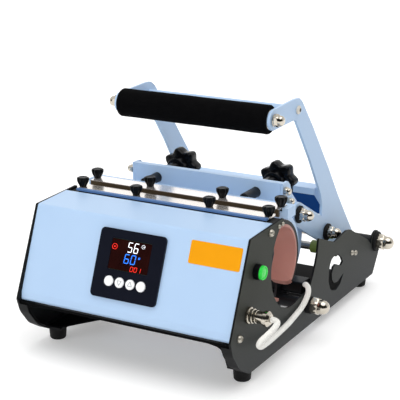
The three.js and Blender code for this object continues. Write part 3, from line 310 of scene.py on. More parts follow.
def below(material, value, limit, soft=0.1):
    """1 where value is under limit, and 0 above."""
    return beyond(material, value, limit, soft, 1.0, 0.0)


def blue_coat(name="sky_blue_powder_coat"):
    # Satin epoxy powder baked on steel: even pale blue with a faint orange peel of about 1 mm.
    return surface(name, "acc8e8", "b3ceec", 0.38, 1.1, 0.012, patch=60)


def olive_coat():
    # Matt textured powder coat on the side plates: warm dark grey, painted paler towards the table as painted
    # light. The cut edges and the inner faces are painted nearly black, as painted shade.
    material = surface("dark_textured_powder_coat", "30322c", "363832", 0.6, 0.7, 0.03, patch=70, shine=0.2)
    painted_light_z, fade = 60, 45
    coat_depth = 0.25
    zone(material, below(material, height_of(material), painted_light_z, fade), "3b3d3e")
    inner = below(material, reach(material, x=1.0), PLATE_FACE - coat_depth, 0.05)
    return zone(material, inner, "0a0b0d")


def black_coat():
    # Black powder coat on folded steel: near black, satin, with a fine grit.
    return surface("black_powder_coat", "0e0f11", "141518", 0.42, 0.8, 0.02, shine=0.3)


def shaded_underside_coat():
    # Flat near-black coat on the sheets under the press, with the deep shade under the press painted into its
    # colour.
    return surface("underside_black_with_painted_shade", "030304", "060607", 0.75, 0.8, 0.02, shine=0.06)


def plated():
    # Polished nickel plate on steel nuts: mirror bright and slightly warm, with faint handling haze.
    return surface("polished_nickel_plate", "bfb7a9", "d6cfc2", 0.1, 3.0, 0.004, 1.0, patch=6, spread=0.05)


def zinc_screws():
    # Zinc-plated cross-head screws: duller and greyer than the nuts.
    return surface("zinc_plated_screws", "aaa599", "c4bfb3", 0.34, 0.8, 0.006, 0.85, patch=3)


def black_plastic():
    # Moulded ABS: black with a soft sheen and a fine spark-eroded grain.
    return surface("moulded_black_plastic", "040507", "090a0c", 0.34, 0.6, 0.01, patch=12, shine=0.16)


def star_plastic():
    # Moulded phenolic resin: glossy black, with a slight ripple from the mould.
    return surface("glossy_black_resin", "030406", "07080b", 0.22, 4.0, 0.02, patch=15, shine=0.16)


def black_foam():
    # Closed-cell rubber foam sleeve: dead black with pores, drawn at about 0.7 mm so that they show.
    return surface("black_cell_foam", "030304", "09090a", 0.93, 0.7, 0.12, patch=8, spread=0.05, shine=0.06)


def black_rubber():
    # Moulded rubber feet: dull black with a little dust in it.
    return surface("moulded_black_rubber", "0a0a0b", "121213", 0.7, 0.9, 0.04, patch=9, shine=0.25)


def pad_rubber():
    # Pink silicone heating mat: smooth and slightly waxy inside the bore, with black vulcanised edges.
    material = surface("pink_silicone_rubber", "b57f75", "bf8d83", 0.46, 1.2, 0.015, patch=25, shine=0.35)
    lining = 3  # how thick the pink layer is, seen at the mat's ends
    end_depth = 0.7
    top_edge_z = 162.4
    light_reach = 2
    radius = reach(material, y=1.0, z=1.0, centre=(0, BORE_Y, BORE_Z))
    end = add(material.node_tree, "ShaderNodeMath", {
        0: beyond(material, radius, BORE_RADIUS + lining, 0.2),
        1: beyond(material, reach(material, x=1.0), PAD_HALF - end_depth)}, operation="MULTIPLY").outputs[0]
    zone(material, end, "0d0d0f", roughness=0.55)
    zone(material, beyond(material, height_of(material), top_edge_z, 0.2), "0d0d0f", roughness=0.55)
    shader = shader_of(material)
    shader.inputs["Subsurface Weight"].default_value = 0.08
    shader.inputs["Subsurface Scale"].default_value = light_reach * MM
    return material


def strip_steel():
    # Cold-rolled stainless strip: bright, drawn along its length in streaks about 0.4 mm wide.
    # Its front edge is painted a darker blue, the blue of the cover's lip with the seam's shade painted in,
    # which reads as the seam between the strip and the cover's lip.
    material = surface("rolled_stainless_strip", "ded6ce", "f0eae4", 0.2, 0.4, 0.006, 0.8,
                       patch=25, spread=0.08, stretch=(0.03, 1, 1))
    seam_shade_y = 67  # the painted seam shade ends here
    behind = 100  # the distance is counted from a line this far behind that edge
    front = beyond(material, reach(material, y=1.0, centre=(0, seam_shade_y + behind, 0)), behind, 0.3)
    return zone(material, front, "5479ad", roughness=0.6, metallic=0.0)


def strip_with_shaded_leg():
    # The angle strip on the jaw side: bright on top, and its upright leg is painted a darker bronze, as
    # painted shade.
    material = surface("steel_strip_with_shaded_leg", "e4dedb", "f6f0ee", 0.16, 0.4, 0.006, 0.8,
                       patch=25, spread=0.06, stretch=(0.03, 1, 1))
    bright_depth = 0.5
    leg = below(material, height_of(material), REAR_STRIP_TOP_Z - bright_depth, 0.2)
    return zone(material, leg, "5a4d3c", roughness=0.28, metallic=0.5)


def bezel_film():
    # Screen-printed polycarbonate over the control housing: blue-black with a low even gloss.
    return surface("printed_panel_film", "0b0e19", "0f121e", 0.34, 0.9, 0.006, patch=20, shine=0.15)


def display_glass():
    # Smoked acrylic in front of the digits: deep red-brown and very smooth.
    return surface("smoked_acrylic", "160606", "2a0d0a", 0.12, 5.0, 0.002, patch=18, spread=0.02, shine=0.2)


def lit(name, shade):
    # Light-emitting segments behind the window: even glow, a little weaker in soft patches.
    material = surface(name, shade, shade, 0.4, 2.0, 0.002, patch=4)
    tree = material.node_tree
    drift = next(n for n in tree.nodes if n.type == "TEX_NOISE")
    dim = add(tree, "ShaderNodeMapRange", {
        0: drift.outputs[0], 1: NOISE_LOW, 2: NOISE_HIGH, 3: LIT_WEAKEST * LIT_STRENGTH, 4: LIT_STRENGTH})
    shader = shader_of(material)
    shader.inputs["Emission Color"].default_value = colour(shade)
    tree.links.new(dim.outputs[0], shader.inputs["Emission Strength"])
    return material


def key_silicone():
    # White silicone keypad: soft matt white.
    return surface("white_keypad_silicone", "eceef0", "f7f8fa", 0.5, 0.7, 0.008, patch=6)


def key_ink():
    # Grey pad-printed ink on the keys.
    return surface("grey_printed_ink", "6a6c70", "808286", 0.6, 0.4, 0.002, patch=3)


def amber_vinyl():
    # Glossy amber vinyl plate: saturated orange-yellow, faintly uneven where it was rolled on.
    return surface("amber_vinyl_plate", "e99a03", "ef9f06", 0.36, 6.0, 0.01, patch=20, shine=0.12)


def green_cap():
    # Translucent green polycarbonate cap lit from behind: bright, clear green with paler facets.
    material = surface("lit_green_polycarbonate", "1fb838", "3ad04f", 0.25, 1.5, 0.02, patch=3)
    shader = shader_of(material)
    shader.inputs["Emission Color"].default_value = colour("1fd13e")
    shader.inputs["Emission Strength"].default_value = 0.22
    return material


def braid():
    # Woven glass-fibre sleeve: off-white, with strands about 1 mm wide crossing at a slant.
    material = surface("woven_glass_sleeve", "f5f2eb", "fdfcf8", 0.75, 0.5, 0.03, patch=5)
    strand_height = 0.25
    tree = material.node_tree
    along = add(tree, "ShaderNodeTexCoord")
    scaled = add(tree, "ShaderNodeMapping", {"Vector": along.outputs["UV"], "Scale": BRAID_SCALE})
    strands = []
    for slant in (pi / 4, -pi / 4):
        slanted = add(tree, "ShaderNodeMapping", {"Vector": scaled.outputs[0], "Rotation": (0, 0, slant)})
        strands.append(add(tree, "ShaderNodeTexWave", {
            "Vector": slanted.outputs[0], "Scale": 1.0}, wave_profile="SIN"))
    cross = add(tree, "ShaderNodeMath", {
        0: strands[0].outputs["Fac"], 1: strands[1].outputs["Fac"]}, operation="MAXIMUM")
    shader = shader_of(material)
    first = shader.inputs["Normal"].links[0].from_socket
    bump = add(tree, "ShaderNodeBump", {
        "Height": cross.outputs[0], "Strength": 0.7, "Distance": strand_height * MM, "Normal": first})
    tree.links.new(bump.outputs[0], shader.inputs["Normal"])
    # The low places between strands are painted greyer, as painted shade in the hollows of the weave.
    weave_shade = add(tree, "ShaderNodeMapRange", {0: cross.outputs[0], 1: 0.0, 2: 0.6, 3: 0.5, 4: 0.0})
    return zone(material, weave_shade.outputs[0], "d0ccc0")


def steel_rod():
    # Ground steel bar with green rubber sleeves near its ends, dulled by handling.
    material = surface("ground_steel_bar", "8d8f90", "a7a9aa", 0.28, 0.5, 0.005, 1.0, patch=20)
    across = reach(material, x=1.0)
    tree = material.node_tree
    sleeve = add(tree, "ShaderNodeMath", {
        0: beyond(material, across, SLEEVE_INNER_X), 1: below(material, across, SLEEVE_OUTER_X)},
        operation="MULTIPLY").outputs[0]
    return zone(material, sleeve, "5c6b33", roughness=0.6, metallic=0.0)


def circuit():
    # Solder-masked glass-epoxy board: green with slight gloss.
    return surface("solder_masked_board", "0d3a20", "13472a", 0.4, 1.0, 0.01, patch=8)


def beam_coat():
    # The beam is powder coated like the sheets, and the nuts at its ends are plated.
    material = blue_coat("blue_coat_with_plated_nuts")
    ends = beyond(material, reach(material, x=1.0), JAW_FACE + GAP / 2, 0.05)
    return zone(material, ends, "ddd7ca", roughness=0.14, metallic=1.0)


def tie_coat():
    # The lever's tie is coated too, and its plated screws at both ends have a dark disc painted in their
    # middle: painted shade that stands for a hexagon socket.
    material = beam_coat()
    socket_shade_radius = 2.3
    radius = reach(material, y=1.0, z=1.0, centre=(0, TIE_Y, TIE_Z))
    return zone(material, below(material, radius, socket_shade_radius, 0.25), "2b2620", roughness=0.5, metallic=0.3)


def jaw_coat():
    # The jaw plates and their shell are blue, and black from the hinge up to the foot of the shell.
    material = blue_coat("blue_coat_with_black_foot")
    foot_z = 68
    return zone(material, below(material, height_of(material), foot_z, 0.4), "17191c", roughness=0.45)


def shell_coat():
    # The front shell is blue, and painted dark past the ends of the pads, as painted shade against the side
    # plates.
    material = blue_coat("blue_coat_with_shaded_ends")
    return zone(material, beyond(material, reach(material, x=1.0), PAD_HALF, 0.1), "1b1c1e", roughness=0.6)


def shaded_blue_coat():
    # The same blue powder coat inside the lever's cross channel, darkened to a deep blue as painted shade.
    return surface("shaded_blue_powder_coat", "123f7c", "174a8c", 0.45, 1.1, 0.012, patch=60, shine=0.3)


# Solids

class Shape:
    """Points, faces and the finish of each face of one piece, in metres."""

    def __init__(self):
        self.points = []
        self.faces = []
        self.looks = []
        self.corners = {}

    def face(self, indices, look=0):
        self.faces.append(tuple(indices))
        self.looks.append(look)

    def grow(self, points):
        start = len(self.points)
        self.points.extend(points)
        return start


def basis(axis):
    """Two directions that with axis make a right-handed set."""
    axis = Vector(axis).normalized()
    side = Vector((0, 1, 0)) if abs(axis.x) > 0.9 else Vector((1, 0, 0))
    side = (side - axis * side.dot(axis)).normalized()
    return side, axis.cross(side), axis


def turned(shape, start, axis, rows, look=0, flats=None, steps=STEPS, loop=False):
    """A turned solid. rows are (along, radius) from start along axis, in millimetres, in the order of the
    skin with the axis on its left; flats is the distance from the axis to the faces of a hexagon."""
    side, up, axis = basis(axis)
    rings = []
    for along, radius in rows:
        middle = start + axis * along * MM
        if radius == 0:
            rings.append([shape.grow([middle])] * steps)
            continue
        ring = []
        for k in range(steps):
            angle = WHOLE_TURN * k / steps
            reach_out = radius
            if flats is not None:
                local = (angle + HEXAGON_STEP / 2) % HEXAGON_STEP - HEXAGON_STEP / 2
                reach_out = min(radius, flats / cos(local))
            ring.append(middle + (side * cos(angle) + up * sin(angle)) * reach_out * MM)
        first = shape.grow(ring)
        rings.append(list(range(first, first + steps)))
    if loop:
        rings.append(rings[0])
    for low, high in zip(rings, rings[1:]):
        for k in range(steps):
            n = (k + 1) % steps
            corners = [low[k], low[n], high[n], high[k]]
            kept = [c for i, c in enumerate(corners) if c != corners[i - 1]]
            if len(kept) > 2:
                shape.face(kept, look)


def disc(shape, start, axis, low, high, radius, look=0, edge=0.4):
    """A short cylinder with chamfered ends."""
    rows = [(low, 0), (low, radius - edge), (low + edge, radius), (high - edge, radius),
            (high, radius - edge), (high, 0)]
    turned(shape, start, axis, rows, look)


# Shares of a cap nut's radius
NUT_CHAMFER = 0.12
NUT_CAP = 0.8
NUT_TOP = 0.98  # of the distance across its flats, just under the cap
CAP_STRAIGHT = 0.3  # how much of the cap's height is straight, below its dome
DOME_STEPS = 9


def cap_nut(shape, start, axis, low, radius, hex_length, length):
    """A hexagon nut with chamfered corners under a round cap."""
    flats = radius * cos(HEXAGON_STEP / 2)
    edge = radius * NUT_CHAMFER
    top = low + hex_length
    body = [(low, 0), (low, flats), (low + edge, radius), (top - edge, radius), (top, flats * NUT_TOP),
            (top, 0)]
    turned(shape, start, axis, body, flats=flats)
    cap = radius * NUT_CAP
    rise = length - hex_length
    straight = rise * CAP_STRAIGHT
    rows = [(top - OVERLAP, 0), (top - OVERLAP, cap)]
    for i in range(DOME_STEPS):
        angle = pi / 2 * i / DOME_STEPS
        rows.append((top + straight + (rise - straight) * sin(angle), cap * cos(angle)))
    rows.append((low + length, 0))
    turned(shape, start, axis, rows)


def prism(shape, outline, x0, x1, to_place=at):
    """A solid between x0 and x1 with an outline of (y, z) points, anticlockwise seen from +x."""
    loft(shape, [[to_place(x, y, z) for y, z in outline] for x in (x0, x1)])


def loft(shape, rows):
    """A closed solid through rows of points, each anticlockwise seen from the last row."""
    first = [shape.grow(row) for row in rows]
    count = len(rows[0])
    shape.face(range(first[0] + count - 1, first[0] - 1, -1))
    shape.face(range(first[-1], first[-1] + count))
    for low, high in zip(first, first[1:]):
        for i in range(count):
            n = (i + 1) % count
            shape.face((low + i, low + n, high + n, high + i))


def arc(y, z, radius, start, end, steps):
    """Points round (y, z), angles in degrees counted from the rear upwards."""
    span = [radians(start + (end - start) * i / steps) for i in range(steps + 1)]
    return [(y + radius * cos(a), z + radius * sin(a)) for a in span]


def rounded_rectangle(left, bottom, right, top, corner, steps=6):
    points = []
    for u, v, start in ((right, bottom, -90), (right, top, 0), (left, top, 90), (left, bottom, 180)):
        cu = u - corner if u == right else u + corner
        cv = v - corner if v == top else v + corner
        points.extend(arc(cu, cv, corner, start, start + 90, steps))
    return points


def swept(shape, path, radius, sides):
    """A round tube with closed ends along a path in metres."""
    rings = []
    side = None
    for i, point in enumerate(path):
        along = (path[min(i + 1, len(path) - 1)] - path[max(i - 1, 0)]).normalized()
        side = (side - along * side.dot(along)).normalized() if side else basis(along)[0]
        up = along.cross(side)
        first = shape.grow([
            point + (side * cos(WHOLE_TURN * k / sides) + up * sin(WHOLE_TURN * k / sides)) * radius * MM
            for k in range(sides)])
        rings.append(range(first, first + sides))
    for i, (low, high) in enumerate(zip(rings, rings[1:])):
        for k in range(sides):
            n = (k + 1) % sides
            shape.corners[len(shape.faces)] = [(i, k), (i, k + 1), (i + 1, k + 1), (i + 1, k)]
            shape.face((low[k], low[n], high[n], high[k]))
    for ring, way in ((rings[0], -1), (rings[-1], 1)):
        shape.face(list(ring)[::way])


def smooth_path(points, per_span):
    """A centripetal Catmull-Rom line through points."""
    points = [Vector(p) for p in points]
    padded = [points[0] * 2 - points[1], *points, points[-1] * 2 - points[-2]]
    line = []
    for i in range(1, len(padded) - 2):
        a, b, c, d = padded[i - 1:i + 3]
        t0 = 0.0
        t1 = t0 + sqrt((b - a).length)
        t2 = t1 + sqrt((c - b).length)
        t3 = t2 + sqrt((d - c).length)
        for step in range(per_span):
            t = t1 + (t2 - t1) * step / per_span
            p = a * ((t1 - t) / (t1 - t0)) + b * ((t - t0) / (t1 - t0))
            q = b * ((t2 - t) / (t2 - t1)) + c * ((t - t1) / (t2 - t1))
            r = c * ((t3 - t) / (t3 - t2)) + d * ((t - t2) / (t3 - t2))
            m = p * ((t2 - t) / (t2 - t0)) + q * ((t - t0) / (t2 - t0))
            n = q * ((t3 - t) / (t3 - t1)) + r * ((t - t1) / (t3 - t1))
            line.append(m * ((t2 - t) / (t2 - t1)) + n * ((t - t1) / (t2 - t1)))
    return [*line, points[-1]]


def finished(mesh):
    """Smooths the faces of a new mesh and keeps its corners sharp."""
    mesh.shade_smooth()
    mesh.set_sharp_from_angle(angle=radians(SMOOTH_ANGLE))
    return mesh


BEVEL_ANGLE = 40  # degrees; a flatter edge gets no bevel


def piece(name, shape, materials, body=None, replaces=(), bevel=0, slot=None):
    """A finished object from a shape, riding on its body if it names one."""
    mesh = new_mesh(name, shape.points, shape.faces)
    for material in materials:
        mesh.materials.append(material)
    mesh.polygons.foreach_set("material_index", shape.looks)
    if shape.corners:
        layer = mesh.uv_layers.new(name="along")
        for polygon in mesh.polygons:
            for corner, place in zip(polygon.loop_indices, shape.corners.get(polygon.index, [])):
                layer.uv[corner].vector = place
    finished(mesh)
    thing = link_object(name, mesh)
    if bevel:
        edge = thing.modifiers.new("edge", "BEVEL")
        edge.width = bevel * MM
        edge.segments = 3
        edge.limit_method = "ANGLE"
        edge.angle_limit = radians(BEVEL_ANGLE)
        edge.harden_normals = True
    if body:
        settle(thing, body, replaces, slot)
    return thing


def settle(thing, body, replaces=(), slot=None):
    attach(thing, body)
    if replaces:
        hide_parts(*replaces)
    slot = slot or (replaces[0] if replaces else None)


# Geometry Nodes

def node_tree(name, inputs):
    """A Geometry Nodes tree with a mesh in, named inputs and a mesh out."""
    tree = bpy.data.node_groups.new(name, "GeometryNodeTree")
    tree.interface.new_socket("Mesh", in_out="INPUT", socket_type="NodeSocketGeometry")
    for label, kind in inputs.items():
        tree.interface.new_socket(label, in_out="INPUT", socket_type=kind)
    tree.interface.new_socket("Result", in_out="OUTPUT", socket_type="NodeSocketGeometry")
    return tree, add(tree, "NodeGroupInput").outputs


def end_tree(tree, geometry, material):
    real = add(tree, "GeometryNodeRealizeInstances", {"Geometry": geometry})
    painted = add(tree, "GeometryNodeSetMaterial", {"Geometry": real.outputs[0], "Material": material})
    add(tree, "NodeGroupOutput", {0: painted.outputs[0]})
    return tree


def lobed_grip_tree():
    """Draws a turned blank in between its lobes, as far as its grip attribute says."""
    tree, given = node_tree("lobed_grip", {
        "Lobes": "NodeSocketFloat", "Depth": "NodeSocketFloat", "Material": "NodeSocketMaterial"})
    where = add(tree, "GeometryNodeInputPosition").outputs[0]
    split = add(tree, "ShaderNodeSeparateXYZ", {0: where}).outputs
    grip = add(tree, "GeometryNodeInputNamedAttribute", {"Name": "grip"}, data_type="FLOAT").outputs[0]
    # From the angle round the axis to how far out a point goes, which is 1 on a lobe.
    out = add(tree, "ShaderNodeMath", {0: split[1], 1: split[0]}, operation="ARCTAN2").outputs[0]
    for operation, other in (
            ("MULTIPLY", given["Lobes"]), ("COSINE", 0.0), ("SUBTRACT", 1.0),
            ("MULTIPLY", given["Depth"]), ("MULTIPLY", grip), ("ADD", 1.0)):
        out = add(tree, "ShaderNodeMath", {0: out, 1: other}, operation=operation).outputs[0]
    scale = add(tree, "ShaderNodeCombineXYZ", {0: out, 1: out, 2: 1.0}).outputs[0]
    moved = add(tree, "ShaderNodeVectorMath", {0: where, 1: scale}, operation="MULTIPLY").outputs[0]
    shaped = add(tree, "GeometryNodeSetPosition", {"Geometry": given["Mesh"], "Position": moved})
    return end_tree(tree, shaped.outputs[0], given["Material"])


def screw_tree():
    """Sets a domed head with a cross recess on each point, each turned at random."""
    tree, given = node_tree("cross_head_screws", {
        "Radius": "NodeSocketFloat", "Height": "NodeSocketFloat", "Facing": "NodeSocketVector",
        "Seed": "NodeSocketInt", "Material": "NodeSocketMaterial"})
    # The recess in a head of radius 1: the length and width of each slot and where its middle lies.
    slot_length, slot_width, slot_middle = 0.95, 0.24, 1.05
    ball = add(tree, "GeometryNodeMeshUVSphere", {"Segments": 28, "Rings": 14, "Radius": 1.0}).outputs[0]
    bars = []
    for size in ((slot_length, slot_width, 1.0), (slot_width, slot_length, 1.0)):
        bar = add(tree, "GeometryNodeMeshCube", {"Size": size}).outputs[0]
        bars.append(add(tree, "GeometryNodeTransform", {
            "Geometry": bar, "Translation": (0, 0, slot_middle)}).outputs[0])
    head = add(tree, "GeometryNodeMeshBoolean", {"Mesh 1": ball, "Mesh 2": bars}, operation="DIFFERENCE",
               solver="EXACT")
    spin = add(tree, "FunctionNodeRandomValue", {
        "Min": (0, 0, 0), "Max": (0, 0, pi), "Seed": given["Seed"]}, data_type="FLOAT_VECTOR").outputs[0]
    facing = add(tree, "FunctionNodeAlignEulerToVector", {
        "Rotation": spin, "Vector": given["Facing"]}, axis="Z")
    scale = add(tree, "ShaderNodeCombineXYZ", {0: given["Radius"], 1: given["Radius"], 2: given["Height"]})
    points = add(tree, "GeometryNodeMeshToPoints", {"Mesh": given["Mesh"]}).outputs[0]
    set_heads = add(tree, "GeometryNodeInstanceOnPoints", {
        "Points": points, "Instance": head.outputs["Mesh"], "Rotation": facing.outputs[0],
        "Scale": scale.outputs[0]})
    return end_tree(tree, set_heads.outputs[0], given["Material"])


def ribbed_ring_tree():
    """Stands straight ribs round a turned ring, along its axis."""
    tree, given = node_tree("ribbed_ring", {
        "Radius": "NodeSocketFloat", "Ribs": "NodeSocketInt", "Size": "NodeSocketVector",
        "Along": "NodeSocketFloat", "Material": "NodeSocketMaterial"})
    circle = add(tree, "GeometryNodeMeshCircle", {"Vertices": given["Ribs"], "Radius": given["Radius"]})
    rib = add(tree, "GeometryNodeMeshCube", {"Size": given["Size"]}).outputs[0]
    where = add(tree, "GeometryNodeInputPosition").outputs[0]
    outward = add(tree, "FunctionNodeAlignEulerToVector", {"Vector": where}, axis="X", pivot_axis="Z")
    stood = add(tree, "GeometryNodeInstanceOnPoints", {
        "Points": circle.outputs[0], "Instance": rib, "Rotation": outward.outputs[0]})
    lift = add(tree, "ShaderNodeCombineXYZ", {2: given["Along"]})
    raised = add(tree, "GeometryNodeTransform", {
        "Geometry": stood.outputs[0], "Translation": lift.outputs[0]})
    both = add(tree, "GeometryNodeJoinGeometry", {0: [given["Mesh"], raised.outputs[0]]})
    return end_tree(tree, both.outputs[0], given["Material"])


def grown(name, tree, mesh, sizes, turn=None):
    """Runs a tree on a mesh with its named sizes, and leaves an object with the plain result."""
    thing = link_object(name, mesh)
    modifier = thing.modifiers.new("shape", "NODES")
    modifier.node_group = tree
    for label, value in sizes.items():
        modifier[tree.interface.items_tree[label].identifier] = value
    shaped = thing.evaluated_get(bpy.context.evaluated_depsgraph_get())
    result = bpy.data.meshes.new_from_object(shaped)
    thing.modifiers.clear()
    thing.data = result
    if turn is not None:
        result.transform(turn)
    finished(result)
    return thing


def blank(profile, steps, loop=False):
    """A turned blank along z, in metres, from rows of (along, radius, how strongly the lobes shape it)."""
    shape = Shape()
    rows = [(along, radius) for along, radius, _ in profile]
    turned(shape, Vector((0, 0, 0)), (0, 0, 1), rows, steps=steps, loop=loop)
    mesh = new_mesh("blank", shape.points, shape.faces)
    weights = []
    for _, radius, grip in profile:
        weights.extend([grip] * (1 if radius == 0 else steps))
    mesh.attributes.new("grip", "FLOAT", "POINT").data.foreach_set("value", weights)
    return mesh


def standing(place, axis):
    """Puts what was made along z at a place on the press, along axis."""
    side, up, axis = basis(axis)
    turn = Matrix((side, up, axis)).transposed().to_4x4()
    return Matrix.Translation(place) @ turn


def smooth_edges_tree():
    """Smooth shading that breaks only at real corners."""
    tree, given = node_tree("smooth_by_angle", {})
    angle = add(tree, "GeometryNodeInputMeshEdgeAngle").outputs[0]
    sharp = add(tree, "FunctionNodeCompare", {0: angle, 1: radians(SMOOTH_ANGLE)}, operation="GREATER_THAN")
    shaded = add(tree, "GeometryNodeSetMeshNormal", {
        "Mesh": given["Mesh"], "Remove Custom": True, "Edge Sharpness": sharp.outputs[0],
        "Face Sharpness": False}, mode="SHARPNESS")
    add(tree, "NodeGroupOutput", {0: shaded.outputs[0]})
    return tree


# Sheets, plates and links kept from the frame

WELD_DISTANCE = 0.01
FLAT_ANGLE = 0.4  # degrees; flatter facets are joined to one face
FOLD_ANGLE = 35  # degrees; a flatter edge stays as it is


def dress(node, material, edge=0.35):
    """Gives a kept node its finish, and softens its edges as a press and a coat leave them."""
    thing = NODES[node]
    for slot in thing.material_slots:
        slot.material = material
    weld = thing.modifiers.new("weld", "WELD")
    weld.merge_threshold = WELD_DISTANCE * MM
    flat = thing.modifiers.new("flat", "DECIMATE")
    flat.decimate_type = "DISSOLVE"
    flat.angle_limit = radians(FLAT_ANGLE)
    if edge:
        soft = thing.modifiers.new("edge", "BEVEL")
        soft.width = edge * MM
        soft.segments = 2
        soft.limit_method = "ANGLE"
        soft.angle_limit = radians(FOLD_ANGLE)
    shade = thing.modifiers.new("shade", "NODES")
    shade.node_group = SMOOTH_EDGES
    weigh = thing.modifiers.new("weigh", "WEIGHTED_NORMAL")
    weigh.keep_sharp = True


def dress_frame():
    blue = blue_coat()
    olive = olive_coat()
    for side, _ in SIDES:
        dress(f"side_plate_{side}", olive, 0.3)
        dress(f"lever_arm_{side}", blue, 0.4)
        dress(f"link_{side}", blue, 0.6)
    jaw = jaw_coat()
    for side, _ in SIDES:
        dress(f"jaw_plate_{side}", jaw)
    for node, finish, edge in (
            ("front_cover", blue, 0.35),
            ("front_shell", shell_coat(), 0.35),
            ("rear_shell", jaw, 0.35),
            ("beam", beam_coat(), 0.5),
            ("lever_tie", tie_coat(), 0.2),
            ("clamp_bar", blue, 0.5),
            ("bottom_pan", BLACK_STEEL, 0.35),
            ("jaw_hinge", BLACK_STEEL, 0.3),
            ("terminal_cover", BLACK_PLASTIC, 0.5),
            ("mains_inlet", BLACK_PLASTIC, 0.4),
            ("control_bezel", bezel_film(), 0.4),
            ("display_window", display_glass(), 0.2),
            ("controller_board", circuit(), 0),
            ("front_clamp_strip", strip_steel(), 0.25),
            ("rear_clamp_strip", strip_with_shaded_leg(), 0.25),
            ("stop_rod", steel_rod(), 0.3)):
        dress(node, finish, edge)


# Axles, pins and their nuts

PAST_MIDDLE = -1  # both halves of an axle reach past the middle of the press
AXLE_RADIUS = 6
SPACER_RADIUS = 7
AXLE_NUT_SUNK = 0.5  # how far the nut reaches into its washer
# Nuts: the radius, the length of the hexagon and the whole length
AXLE_NUT = (10.5, 9, 21)
LINK_NUT = (8.1, 6.4, 16.3)
GRIP_NUT = (7.5, 5.2, 11.4)
# Each axle's place, and its washer's radius and length
AXLES = {"rear_axle": (REAR_Y, REAR_Z, 13, 4), "jaw_axle": (JAW_Y, JAW_Z, 10, 7)}
# Each bolt's place, and the x of its inner end
LINK_BOLTS = (("knee_bolt", KNEE_Y, KNEE_Z, 91.7), ("jaw_link_bolt", JAW_LINK_Y, JAW_LINK_Z, 100.3))
LINK_BOLT_RADIUS, LINK_BOLT_END = 5, 108.4
KNEE_HEAD_RADIUS, KNEE_HEAD_LENGTH = 8, 5
LINK_WASHER_RADIUS, LINK_WASHER_START, LINK_WASHER_END = 10.4, 105.8, 109.4
GRIP_RADIUS, GRIP_END = 11, 96.7
GRIP_SCREW_RADIUS, GRIP_SCREW_START, GRIP_SCREW_END = 4, 96, 104
GRIP_WASHER_RADIUS, GRIP_WASHER_END = 7.2, 101.6
FOAM_HALF, FOAM_RADIUS, FOAM_BORE, FOAM_EDGE = 96, 16.5, 11.3, 3
FOAM_EDGE_STEPS, FOAM_RINGS = 6, 30
FOAM_WEAR = 0.12  # how far handling has pressed the foam in, in slow waves along it
FOAM_WAVES = (0.11, 0.043)  # radians a millimetre


def make_axle(name, y, z, washer_radius, washer_length):
    """The ends of a through axle, each with a black spacer, a rubber washer and a cap nut."""
    shape = Shape()
    middle = at(0, y, z)
    end = SEAT_X + washer_length
    for _, side in SIDES:
        way = (side, 0, 0)
        disc(shape, middle, way, PAST_MIDDLE, end, AXLE_RADIUS)
        disc(shape, middle, way, JAW_FACE + GAP, PLATE_FACE - PLATE_THICKNESS - GAP, SPACER_RADIUS, 2)
        disc(shape, middle, way, SEAT_X, end, washer_radius, 1, edge=0.8)
        cap_nut(shape, middle, way, end - AXLE_NUT_SUNK, *AXLE_NUT)
    piece(name, shape, [PLATED, BLACK_RUBBER, BLACK_STEEL], "base", [name])


def make_link_bolts():
    for name, side in SIDES:
        way = (side, 0, 0)
        for bolt, y, z, inner in LINK_BOLTS:
            shape = Shape()
            middle = at(0, y, z)
            disc(shape, middle, way, inner, LINK_BOLT_END, LINK_BOLT_RADIUS)
            if bolt == "knee_bolt":
                disc(shape, middle, way, inner, inner + KNEE_HEAD_LENGTH, KNEE_HEAD_RADIUS, edge=0.8)
            disc(shape, middle, way, LINK_WASHER_START, LINK_WASHER_END, LINK_WASHER_RADIUS, 1, edge=0.7)
            cap_nut(shape, middle, way, LINK_WASHER_END - OVERLAP, *LINK_NUT)
            piece(f"{bolt}_and_nut_{name}", shape, [PLATED, BLACK_RUBBER], f"link_{name}", [f"{bolt}_{name}"])


def make_grip():
    bar = Shape()
    middle = at(0, GRIP_Y, GRIP_Z)
    for _, side in SIDES:
        way = (side, 0, 0)
        disc(bar, middle, way, PAST_MIDDLE, GRIP_END, GRIP_RADIUS, edge=0.8)
        disc(bar, middle, way, GRIP_SCREW_START, GRIP_SCREW_END, GRIP_SCREW_RADIUS)
        disc(bar, middle, way, JAW_FACE + GAP, GRIP_WASHER_END, GRIP_WASHER_RADIUS, edge=0.3)
        cap_nut(bar, middle, way, GRIP_WASHER_END - OVERLAP, *GRIP_NUT)
    piece("grip_bar_and_nuts", bar, [PLATED], "lever", ["grip_bar"])
    foam = Shape()
    rounded_end = []
    for i in range(FOAM_EDGE_STEPS + 1):
        angle = pi / 2 * i / FOAM_EDGE_STEPS
        along = -FOAM_HALF + FOAM_EDGE * (1 - cos(angle))
        rounded_end.append((along, FOAM_RADIUS - FOAM_EDGE * (1 - sin(angle))))
    rows = [(-FOAM_HALF, FOAM_BORE), *rounded_end]
    straight = 2 * (FOAM_HALF - FOAM_EDGE)
    for i in range(1, FOAM_RINGS):
        along = -FOAM_HALF + FOAM_EDGE + straight * i / FOAM_RINGS
        wear = 1 + sin(along * FOAM_WAVES[0]) * cos(along * FOAM_WAVES[1])
        rows.append((along, FOAM_RADIUS - FOAM_WEAR * wear))
    rows.extend((-along, radius) for along, radius in reversed(rounded_end))
    rows.append((FOAM_HALF, FOAM_BORE))
    turned(foam, middle, (1, 0, 0), rows, loop=True, steps=96)
    sleeve = piece("foam_grip_sleeve", foam, [black_foam()], "lever", ["foam_grip"])


# Knobs and their rods

